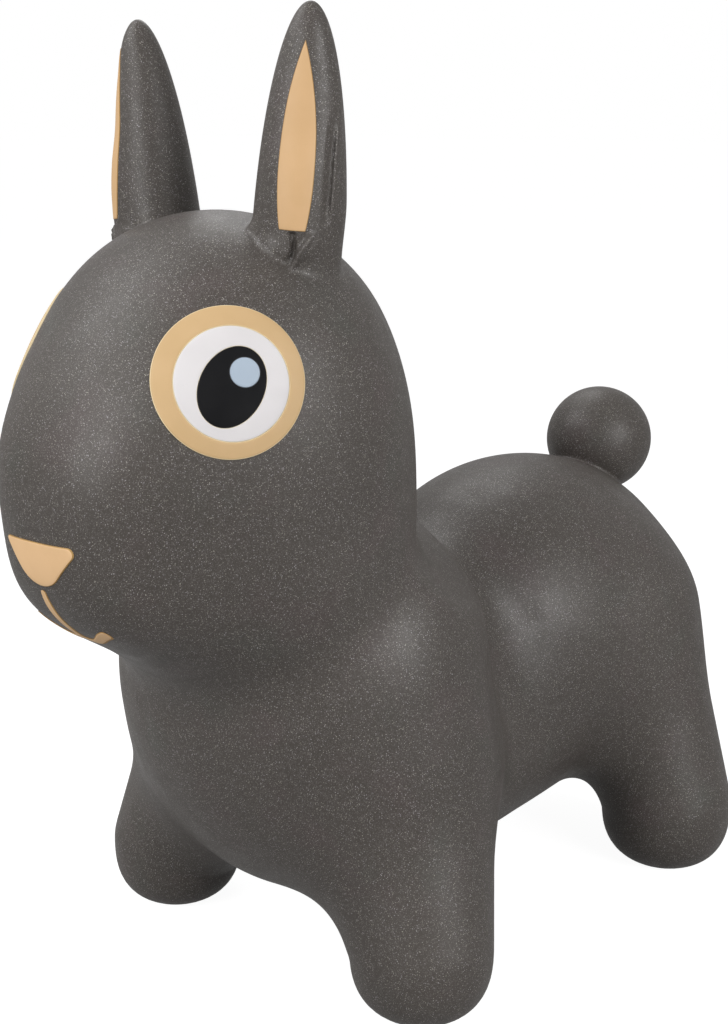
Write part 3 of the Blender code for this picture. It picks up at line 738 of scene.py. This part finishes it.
def make_tail(skin):
    direction = tail_direction()
    across = np.array((1.0, 0.0, 0.0))
    up = np.cross(direction, across)
    centre = tail_point(tail_radius - tail_sunk)
    columns, cell, skirt = tail_mesh
    angle = np.arange(columns) * 2.0 * math.pi / columns

    def ring(share):
        polar = math.pi * 0.85 * (1.0 - share)
        round_part = np.outer(np.cos(angle), across) + np.outer(np.sin(angle), up)
        return centre + tail_radius * (math.sin(polar) * round_part + math.cos(polar) * direction)

    tail = sleeve("skin_tail", tail_field, ring, skin, columns, cell, skirt)
    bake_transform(tail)
    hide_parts("tail_root", "tail")


# Painted areas


def circle(centre, radius, count):
    turn = np.arange(count) * 2.0 * math.pi / count
    return np.array(centre) + radius * np.stack((np.cos(turn), np.sin(turn)), 1)


def pupil_loop(growth, count):
    turn = np.arange(count) * 2.0 * math.pi / count
    along = (pupil_sizes[0] + growth) * np.sin(turn)
    across = (pupil_sizes[1] + growth) * np.cos(turn)
    back = across * math.cos(pupil_tilt) + along * math.sin(pupil_tilt)
    up = along * math.cos(pupil_tilt) - across * math.sin(pupil_tilt)
    return np.array(pupil_place) + np.stack((back, up), 1)


def matched(loop, centre, count):
    """A loop's points at equal angles round a centre inside it."""
    offset = loop - np.array(centre)
    angle = np.arctan2(offset[:, 1], offset[:, 0])
    order = np.argsort(angle)
    size = size_of(offset)[order]
    turn = np.arange(count) * 2.0 * math.pi / count
    turn = (turn + math.pi) % (2.0 * math.pi) - math.pi
    radius = np.interp(turn, angle[order], size, period=2.0 * math.pi)
    return np.array(centre) + radius[:, None] * np.stack((np.cos(turn), np.sin(turn)), 1)


def inset(loop, distance):
    """A closed loop moved inwards, the loop running anticlockwise."""
    along = unit(np.roll(loop, -1, 0) - np.roll(loop, 1, 0))
    return loop + distance * np.stack((-along[:, 1], along[:, 0]), 1)


def lifted(field, line, frame_of, level):
    """A flat line's points, slid out of their plane to a level over the form."""
    centre, across, up, outwards = frame_of
    flat = centre + np.outer(line[:, 0], across) + np.outer(line[:, 1], up)
    return slide(field, flat, outwards, level)


def film(name, field, rows, closed_middle, frame_of, paint, edge, sink=0.0):
    """A raised painted area. rows are loops from the middle outwards, each with its level."""
    points = [lifted(field, loop, frame_of, level - sink) for loop, level in rows]
    first, first_level = rows[0]
    count = len(first)
    faces = closed_rows(len(rows), count)
    walls = wall_flags([level for _, level in rows], count)
    if closed_middle:
        points.append(lifted(field, first.mean(0)[None], frame_of, first_level - sink))
        last = len(rows) * count
        faces += [(last, i, (i + 1) % count) for i in range(count)]
        walls += [False] * count
    return finish_film(name, np.concatenate(points), faces, walls, frame_of[3], paint, edge)


def wall_flags(levels, count):
    """For count faces between each two levels, whether they belong to the edge."""
    flags = []
    for low, high in zip(levels, levels[1:]):
        flags += [min(low, high) < paint_top] * count
    return flags


def finish_film(name, points, faces, walls, outwards, paint, edge):
    """Makes the piece, facing outwards, with the edge's colour on its walls, which on the tan paints is
    partly painted shade.
    """
    mesh = grid_mesh(name, points, faces)
    bm = bmesh.new()
    bm.from_mesh(mesh)
    bmesh.ops.recalc_face_normals(bm, faces=bm.faces)
    if sum(face.normal.dot(Vector(outwards)) * face.calc_area() for face in bm.faces) < 0.0:
        bmesh.ops.reverse_faces(bm, faces=bm.faces)
    bm.to_mesh(mesh)
    bm.free()
    obj = add_object(name, mesh, paint, edge)
    mesh.polygons.foreach_set("material_index", [1 if wall else 0 for wall in walls])
    mesh.shade_smooth()
    mesh.set_sharp_from_angle(angle=50.0 * DEG)
    return obj


def edge_rows(loop, inwards=1.0):
    """Loops that turn down at an edge, from its top to its foot."""
    return [
        (inset(loop, inwards * paint_edge * 0.3), paint_top - paint_edge * 0.35),
        (loop, paint_top - paint_edge),
        (loop, paint_foot),
    ]


def disc_rows(outer, steps):
    """Loops that fill an outline from its middle outwards, then turn down at the edge."""
    top = inset(outer, paint_edge)
    middle = top.mean(0)
    rows = [(middle + (top - middle) * step / steps, paint_top) for step in range(1, steps + 1)]
    return rows + edge_rows(outer)


def ring_rows(inner, outer, steps):
    """Loops between two outlines, turned down at both edges."""
    low = inset(inner, -paint_edge)
    high = inset(outer, paint_edge)
    rows = [(low + (high - low) * step / steps, paint_top) for step in range(steps + 1)]
    return edge_rows(inner, -1.0)[::-1] + rows + edge_rows(outer)


def eye_frame(side):
    """The point of the head under the eye's centre, and its directions back, up and out."""
    level = math.cos(eye_rise)
    sight = np.array((side * math.sin(eye_turn) * level, -math.cos(eye_turn) * level, math.sin(eye_rise)))
    start = place(crown[0], crown[1]) + sight * crown[2][0]
    centre = slide(head_field, start[None], sight, 0.0)[0]
    outwards = gradient(head_field, centre[None])[0]
    back = unit(np.cross((0.0, 0.0, side), outwards))
    up = side * np.cross(outwards, back)
    return centre, back, up, outwards


def make_eye(label, side, paints):
    eye = eye_frame(side)
    count = paint_count
    fine = 8 * count
    white_inner = circle(white_place, white_radius + paint_gap, count)
    ring_outer = matched(circle((0.0, 0.0), ring_radius, fine), white_place, count)
    pupil_inner = matched(pupil_loop(paint_gap, fine), pupil_place, count)
    white_outer = matched(circle(white_place, white_radius, fine), pupil_place, count)
    glint_inner = circle(glint_place, glint_radius + paint_gap, count)
    pupil_outer = matched(pupil_loop(0.0, fine), glint_place, count)
    glint_outer = circle(glint_place, glint_radius, 64)
    for name, rows, tone, node, slot in (
        # The eye ring gets the darker copy of the tan paint: painted shade.
        ("eye_ring_paint", ring_rows(white_inner, ring_outer, 6), "ring", "eye_ring", "tan_paint"),
        ("eye_white_paint", ring_rows(pupil_inner, white_outer, 8), "white", "eye_white", "white_paint"),
        ("pupil_paint", ring_rows(glint_inner, pupil_outer, 12), "black", "pupil", "black_paint"),
        ("glint_paint", disc_rows(glint_outer, 6), "glint", "pupil_glint", "glint_paint"),
    ):
        closed_middle = tone == "glint"
        piece = film(f"{name}_{label}", body_field, rows, closed_middle, eye, *paints[tone])
        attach(piece, "body")
        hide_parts(f"{node}_{label}")


def front_frame():
    start = place(muzzle[0] - muzzle[2][1], 0.0)
    return start, np.array((1.0, 0.0, 0.0)), np.array((0.0, 0.0, 1.0)), np.array((0.0, -1.0, 0.0))


def rounded(corners, radii, count):
    """A closed loop round corners, each turned with an arc of count points."""
    loop = []
    total = len(corners)
    for i, (corner, radius) in enumerate(zip(corners, radii)):
        before = unit(corners[i - 1] - corner)
        after = unit(corners[(i + 1) % total] - corner)
        half = math.acos(float(before @ after)) / 2.0
        centre = corner + unit(before + after) * radius / math.sin(half)
        start = corner + before * radius / math.tan(half)
        end = corner + after * radius / math.tan(half)
        for step in range(count):
            share = step / (count - 1)
            ray = (start - centre) * (1.0 - share) + (end - centre) * share
            loop.append(centre + unit(ray) * radius)
    return np.array(loop)


def even(loop, count):
    """The same closed loop with count points at even distances."""
    return spaced(np.concatenate((loop, loop[:1])), count + 1)[:-1]


def spaced(line, count):
    """The same line with count points at even distances."""
    reached = np.concatenate(((0.0,), np.cumsum(size_of(np.diff(line, axis=0)))))
    places = np.linspace(0.0, reached[-1], count)
    return np.stack([np.interp(places, reached, line[:, axis]) for axis in (0, 1)], 1)


def make_nose(paints):
    loop = even(rounded(np.array(nose_corners), nose_radii, 24), 180)
    if (loop[:, 0] * np.roll(loop[:, 1], -1) - loop[:, 1] * np.roll(loop[:, 0], -1)).sum() < 0.0:
        loop = loop[::-1]
    # The nose gets the lighter copy of the tan paint: painted light.
    nose = film("nose_paint", body_field, disc_rows(loop, 10), True, front_frame(), *paints["tan_painted_light"])
    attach(nose, "body")
    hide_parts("nose")


def ribbon(field, line, half_width, frame_of, sink):
    """A painted line with a half width at each point: its points, faces and edge flags."""
    along = unit(np.gradient(line, axis=0))
    sideways = np.stack((-along[:, 1], along[:, 0]), 1)
    shares = (-1.0, -1.0, -0.8, -0.4, 0.0, 0.4, 0.8, 1.0, 1.0)
    edge = [paint_foot, paint_top - paint_edge]
    levels = edge + [paint_top] * 5 + edge[::-1]
    count = len(line)
    points = []
    for share, level in zip(shares, levels):
        row = line + sideways * (half_width * share)[:, None]
        points.append(lifted(field, row, frame_of, level - sink))
    faces = [quad(row, i, i + 1, count) for row in range(len(levels) - 1) for i in range(count - 1)]
    return np.concatenate(points), faces, wall_flags(levels, count - 1)


def spline(knots, count):
    """A smooth line through knots, with count points at even distances."""
    knots = np.array(knots)
    padded = np.concatenate((2 * knots[:1] - knots[1:2], knots, 2 * knots[-1:] - knots[-2:-1]))
    line = []
    for i in range(1, len(padded) - 2):
        a, b, c, d = padded[i - 1:i + 3]
        second = 2 * a - 5 * b + 4 * c - d
        third = 3 * b - a - 3 * c + d
        for t in np.linspace(0.0, 1.0, 40, endpoint=False):
            line.append(0.5 * (2 * b + (c - a) * t + second * t**2 + third * t**3))
    return spaced(np.array(line + [knots[-1]]), count)


def round_end(distance):
    """Share of the width near the end of a painted line, like a half circle."""
    inner = np.clip(distance, 0.0, 1.0)
    return np.sqrt(inner * (2.0 - inner))


def make_mouth(paints):
    front = front_frame()
    arms_line = spline([(-x, z) for x, z in mouth_arm[:0:-1]] + list(mouth_arm), 161)
    reached = np.abs(np.linspace(-1.0, 1.0, len(arms_line)))
    width = (2.0 + 0.7 * ramp(reached, 0.3, 0.9)) * round_end((1.0 - reached) / 0.075) * MM
    arms = ribbon(body_field, arms_line, width, front, thin_paint)
    stem_line = spline(mouth_stem, 61)
    share = np.linspace(0.0, 1.0, len(stem_line))
    width = (2.1 + 0.8 * ramp(share, 0.0, 0.35) + 0.6 * ramp(share, 0.5, 0.9)) * round_end(share / 0.07) * MM
    stem = ribbon(body_field, stem_line, width, front, thin_paint + 0.1 * MM * ramp(share, 0.9, 1.0))
    points = np.concatenate((arms[0], stem[0]))
    faces = arms[1] + [tuple(i + len(arms[0]) for i in face) for face in stem[1]]
    # The mouth gets the lighter copy of the tan paint: painted light.
    mouth = finish_film("mouth_paint", points, faces, arms[2] + stem[2], front[3], *paints["tan_painted_light"])
    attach(mouth, "body")
    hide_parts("mouth")


def panel_outline():
    """The leaf on the front of an ear: half its outline, from foot to tip."""
    share = np.linspace(0.0, 1.0, 90)
    low = 0.72 + 0.28 * np.sin(np.minimum(share / 0.31, 1.0) * math.pi / 2.0) ** 0.75
    high = 1.0 - (np.clip((share - 0.31) / 0.69, 0.0, 1.0)) ** 2.3
    width = panel_half_width * np.minimum(low, 1.0) * high
    height = panel_bottom + (panel_top - panel_bottom) * share
    return np.stack((width, height), 1)


def make_panel(label, side, paints):
    turn = ear_turn(side)
    outwards = -turn[:, 1]
    spot = (ear_centre(side) + outwards * ear_sizes[side][1], turn[:, 0], turn[:, 2], outwards)
    half = panel_outline()
    loop = even(np.concatenate((half, half[-2::-1] * (-1.0, 1.0))), 300)
    top = inset(loop, paint_edge)
    below, above = panel_spine_ends
    heights = np.clip(top[:, 1], panel_bottom + below, panel_top - above)
    spine = np.stack((np.zeros(len(top)), heights), 1)
    rows = [(spine + (top - spine) * step / 8.0, paint_top) for step in range(9)]
    rows += edge_rows(loop)
    name = f"ear_panel_paint_{label}"
    panel = film(name, smooth_ear(side), rows, False, spot, *paints["tan"], sink=thin_paint)
    bm = bmesh.new()
    bm.from_mesh(panel.data)
    bmesh.ops.remove_doubles(bm, verts=bm.verts, dist=0.01 * MM)
    bm.to_mesh(panel.data)
    bm.free()
    start, end = ear_bend_line(side)
    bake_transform(panel)
    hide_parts(f"ear_panel_{label}")


# Valve


def turned(name, profile, matrix, segments, *materials):
    """A body turned about Z from a profile of radius and height."""
    points = []
    for radius, height in profile:
        turn = np.arange(segments) * 2.0 * math.pi / segments
        points.append(np.stack((radius * np.cos(turn), radius * np.sin(turn), np.full(segments, height)), 1))
    mesh = grid_mesh(name, np.concatenate(points), closed_rows(len(profile), segments))
    bm = bmesh.new()
    bm.from_mesh(mesh)
    bmesh.ops.remove_doubles(bm, verts=bm.verts, dist=0.005 * MM)
    bmesh.ops.recalc_face_normals(bm, faces=bm.faces)
    bmesh.ops.transform(bm, matrix=matrix, verts=bm.verts)
    bm.to_mesh(mesh)
    bm.free()
    mesh.shade_smooth()
    mesh.set_sharp_from_angle(angle=40.0 * DEG)
    return add_object(name, mesh, *materials)


def make_valve(skin, plug):
    matrix = valve_matrix()
    floor = boss_proud - recess_depth
    well = plug_radius + plug_play
    profile = [
        mm(16.5, -2.2), mm(15.5, -1.0), mm(14.4, -0.15), mm(13.4, 0.35), mm(12.6, 0.8), mm(12.0, 1.0),
        mm(10.2, 1.0), mm(9.7, 0.85), mm(9.4, 0.5), (well, boss_proud - 1.2 * MM), (well, floor),
        (bore_radius, floor), (bore_radius, -9.0 * MM), (bore_radius + 1.6 * MM, -9.0 * MM),
    ]
    ring = turned("valve_ring", profile, matrix, 96, skin)
    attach(ring, "body")

    seat = floor + plug_play
    stem = bore_radius - plug_play
    top = seat + 1.9 * MM
    head = [
        (0.0, top - 0.5 * MM), (2.6 * MM, top - 0.5 * MM), (3.2 * MM, top - 0.1 * MM), (3.8 * MM, top),
        (plug_radius - 0.7 * MM, top), (plug_radius - 0.2 * MM, top - 0.2 * MM),
        (plug_radius, top - 0.7 * MM), (plug_radius, seat + 0.5 * MM),
        (plug_radius - 0.4 * MM, seat), (stem, seat), (stem, seat - 4.0 * MM),
        (stem - 0.3 * MM, seat - 4.6 * MM), (stem, seat - 5.2 * MM), (stem, seat - 11.5 * MM),
        (3.0 * MM, seat - 14.4 * MM), (2.5 * MM, seat - 14.8 * MM), (0.0, seat - 14.8 * MM),
    ]
    piece = turned("air_plug_body", head, matrix, 64, plug)
    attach(piece, "plug")
    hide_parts("air_plug")


# Materials


class Nodes:
    """A material's nodes, made one call each."""

    def __init__(self, name):
        self.material = bpy.data.materials.new(name)
        self.material.use_nodes = True
        self.tree = self.material.node_tree
        self.shader = self.tree.nodes["Principled BSDF"]
        self.place = self.tree.nodes.new("ShaderNodeTexCoord").outputs["Object"]
        bend = self.new("ShaderNodeTexNoise", Scale=90.0, Detail=1.0)
        self.link(self.place, bend.inputs["Vector"])
        bent = self.tree.nodes.new("ShaderNodeVectorMath")
        bent.operation = "MULTIPLY_ADD"
        self.link(bend.outputs["Color"], bent.inputs[0])
        bent.inputs[1].default_value = (0.004, 0.004, 0.004)
        self.link(self.place, bent.inputs[2])
        self.bent_place = bent.outputs["Vector"]

    def link(self, source, target):
        self.tree.links.new(source, target)

    def drive(self, socket, source):
        self.link(source, self.shader.inputs[socket])

    def new(self, kind, **inputs):
        node = self.tree.nodes.new(kind)
        for key, value in inputs.items():
            node.inputs[key].default_value = value
        return node

    def noise(self, scale, detail=2.0, roughness=0.5):
        node = self.new("ShaderNodeTexNoise", Scale=scale, Detail=detail, Roughness=roughness)
        self.link(self.place, node.inputs["Vector"])
        return node.outputs["Fac"]

    def cells(self, scale):
        node = self.new("ShaderNodeTexVoronoi", Scale=scale)
        self.link(self.bent_place, node.inputs["Vector"])
        return node

    def spread(self, source, low, high, to_low=0.0, to_high=1.0):
        node = self.tree.nodes.new("ShaderNodeMapRange")
        node.interpolation_type = "SMOOTHSTEP"
        for key, value in (("From Min", low), ("From Max", high), ("To Min", to_low), ("To Max", to_high)):
            node.inputs[key].default_value = value
        self.link(source, node.inputs["Value"])
        return node.outputs["Result"]

    def plus(self, first, second):
        return self.maths("ADD", first, second)

    def times(self, first, second):
        return self.maths("MULTIPLY", first, second)

    def maths(self, operation, first, second):
        node = self.tree.nodes.new("ShaderNodeMath")
        node.operation = operation
        for socket, value in zip(node.inputs, (first, second)):
            if isinstance(value, (int, float)):
                socket.default_value = value
            else:
                self.link(value, socket)
        return node.outputs["Value"]

    def specks(self, scale, size, chosen):
        """Round specks in some of the cells, with where they fade and which cells have one."""
        node = self.cells(scale)
        round_part = self.spread(node.outputs["Distance"], *size, 1.0, 0.0)
        return self.times(round_part, self.spread(self.times(node.outputs["Color"], 1.0), *chosen))

    def mix(self, share, first, second):
        node = self.tree.nodes.new("ShaderNodeMix")
        node.data_type = "RGBA"
        self.link(share, node.inputs["Factor"])
        for socket, value in ((node.inputs["A"], first), (node.inputs["B"], second)):
            if isinstance(value, tuple):
                socket.default_value = value
            else:
                self.link(value, socket)
        return node.outputs["Result"]

    def bump(self, height, strength, distance, after=None):
        node = self.new("ShaderNodeBump", Strength=strength, Distance=distance)
        self.link(height, node.inputs["Height"])
        if after is not None:
            self.link(after, node.inputs["Normal"])
        return node.outputs["Normal"]


def grey(value):
    return (value, value, value, 1.0)


def skin_material():
    """Dark warm grey soft vinyl, full of fine silvery glitter specks, coloured light to stand in for their
    glints.
    """
    n = Nodes("speckled_vinyl")
    cloud = n.spread(n.noise(9.0, 3.0), 0.35, 0.65)
    base = n.mix(cloud, (0.058, 0.050, 0.044, 1.0), (0.068, 0.059, 0.052, 1.0))
    base = n.mix(n.spread(n.noise(30.0, 2.0), 0.5, 0.8, 0.0, 0.45), base, (0.082, 0.060, 0.060, 1.0))
    base = n.mix(n.spread(n.noise(24.0, 2.0), 0.55, 0.85, 0.0, 0.4), base, (0.062, 0.070, 0.058, 1.0))
    grain = n.spread(n.noise(1100.0, 2.0), 0.3, 0.7)
    base = n.mix(n.times(grain, 0.3), base, (0.105, 0.095, 0.086, 1.0))
    # Real glitter specks, given light colours that stand in for the glints of their flakes: painted glints.
    fine_speck_glint = n.specks(2100.0, (0.28, 0.50), (0.42, 0.85))
    base = n.mix(n.times(fine_speck_glint, 0.6), base, (0.30, 0.28, 0.27, 1.0))
    bold_speck_glint = n.specks(1350.0, (0.22, 0.40), (0.6, 0.82))
    tint = n.mix(n.spread(n.noise(420.0), 0.42, 0.58), (0.52, 0.49, 0.43, 1.0), (0.50, 0.47, 0.50, 1.0))
    base = n.mix(n.times(bold_speck_glint, 0.7), base, tint)
    n.drive("Base Color", base)
    shine = n.spread(n.noise(70.0, 3.0), 0.3, 0.7, 0.42, 0.5)
    n.drive("Roughness", n.plus(shine, n.times(bold_speck_glint, -0.12)))
    n.shader.inputs["IOR"].default_value = 1.5
    n.shader.inputs["Specular IOR Level"].default_value = 0.35
    wave = n.bump(n.noise(55.0, 2.0), 0.25, 0.0012)
    n.drive("Normal", n.bump(n.noise(1300.0, 3.0), 0.35, 0.00012, wave))
    return n.material


def paint_material(name, low, high, roughness, gloss):
    """Flat matte paint with a faint cloudiness and a few fine darker dots, painted shade of tiny pits."""
    n = Nodes(name)
    base = n.mix(n.spread(n.noise(48.0, 3.0), 0.3, 0.7), (*low, 1.0), (*high, 1.0))
    # Tiny dots darkened a little: painted shade in fine pits.
    pit_shade = n.spread(n.cells(520.0).outputs["Distance"], 0.02, 0.12)
    pit_shade_tone = (*(channel * 0.93 for channel in low), 1.0)
    n.drive("Base Color", n.mix(pit_shade, pit_shade_tone, base))
    n.drive("Roughness", n.spread(n.noise(160.0, 2.0), 0.3, 0.7, roughness - 0.04, roughness + 0.04))
    n.shader.inputs["IOR"].default_value = 1.45
    n.shader.inputs["Specular IOR Level"].default_value = gloss
    n.drive("Normal", n.bump(n.noise(800.0, 3.0), 0.2, 0.0001))
    return n.material


def plug_material():
    n = Nodes("plug_plastic")
    base = n.mix(n.spread(n.noise(240.0, 3.0), 0.3, 0.7), (0.70, 0.70, 0.68, 1.0), (0.77, 0.77, 0.75, 1.0))
    n.drive("Base Color", base)
    n.drive("Roughness", n.spread(n.noise(400.0, 2.0), 0.3, 0.7, 0.34, 0.44))
    n.drive("Normal", n.bump(n.noise(1200.0, 2.0), 0.15, 0.0001))
    return n.material


# Studio


def switch(tree, ray, base, other):
    """A strength that is base for one kind of ray and other for the rest."""
    node = tree.nodes.new("ShaderNodeMapRange")
    node.inputs["To Min"].default_value = other
    node.inputs["To Max"].default_value = base
    tree.links.new(ray, node.inputs["Value"])
    return node.outputs["Result"]


def combined(tree, operation, first, second):
    node = tree.nodes.new("ShaderNodeMath")
    node.operation = operation
    tree.links.new(first, node.inputs[0])
    tree.links.new(second, node.inputs[1])
    return node.outputs["Value"]


def stage_material():
    """White where it is seen, with the object's shadow on it, and plain grey in the light it gives."""
    made = bpy.data.materials.new("pale_floor")
    made.use_nodes = True
    tree = made.node_tree
    shader = tree.nodes["Principled BSDF"]
    shader.inputs["Base Color"].default_value = grey(floor_grey)
    shader.inputs["Roughness"].default_value = 0.9
    shader.inputs["Specular IOR Level"].default_value = 0.0
    light = tree.nodes.new("ShaderNodeLightPath")
    seen = switch(tree, light.outputs["Is Camera Ray"], floor_seen, 0.0)
    mirrored = switch(tree, light.outputs["Is Glossy Ray"], floor_mirrored, 0.0)
    shader.inputs["Emission Color"].default_value = grey(1.0)
    tree.links.new(combined(tree, "ADD", seen, mirrored), shader.inputs["Emission Strength"])
    return made


def aim_at(obj, location, target):
    obj.location = location
    obj.rotation_euler = (Vector(target) - Vector(location)).to_track_quat("-Z", "Y").to_euler()


def add_lamp(name, location, target, size, power):
    data = bpy.data.lights.new(name, "AREA")
    data.shape = "RECTANGLE"
    data.size = size
    data.size_y = size
    data.energy = power
    lamp = bpy.data.objects.new(name, data)
    bpy.context.scene.collection.objects.link(lamp)
    aim_at(lamp, location, target)


def make_studio():
    scene = bpy.context.scene
    scene.view_settings.view_transform = "Standard"
    bm = bmesh.new()
    bmesh.ops.create_grid(bm, x_segments=1, y_segments=1, size=floor_size)
    mesh = mesh_from(bm, "floor")
    add_object("floor", mesh, stage_material())

    world = bpy.data.worlds.new("studio")
    scene.world = world
    world.use_nodes = True
    tree = world.node_tree
    background = tree.nodes["Background"]
    light = tree.nodes.new("ShaderNodeLightPath")
    clear = combined(tree, "MAXIMUM", light.outputs["Is Camera Ray"], light.outputs["Is Transmission Ray"])
    seen = switch(tree, clear, world_seen, world_light)
    mirrored = switch(tree, light.outputs["Is Glossy Ray"], world_mirrored, 0.0)
    tree.links.new(combined(tree, "MAXIMUM", seen, mirrored), background.inputs["Strength"])
    background.inputs["Color"].default_value = grey(1.0)

    for name, settings in lamps.items():
        add_lamp(name, *settings)


def make_camera():
    data = bpy.data.cameras.new("camera")
    data.sensor_width = 36.0
    data.sensor_fit = "AUTO"
    data.lens = camera_lens
    camera = bpy.data.objects.new("camera", data)
    bpy.context.scene.collection.objects.link(camera)
    aim_at(camera, camera_place, camera_target)
    bpy.context.scene.camera = camera


def build():
    skin = skin_material()
    paints = {}
    for tone, (low, high, edge_low, edge_high, roughness, gloss) in paint_tones.items():
        # Each paint has a material for its area and one for its edge walls. The darker tan edges are partly
        # painted shade.
        paints[tone] = (
            paint_material(f"{tone}_paint", low, high, roughness, gloss),
            paint_material(f"{tone}_paint_edge", edge_low, edge_high, edge_roughness, edge_gloss),
        )
    make_skin(skin)
    make_tail(skin)
    for label, side in SIDES:
        make_ear(label, side, skin)
        make_panel(label, side, paints)
        make_eye(label, side, paints)
    make_nose(paints)
    make_mouth(paints)
    make_valve(skin, plug_material())
    make_studio()
    make_camera()


build()
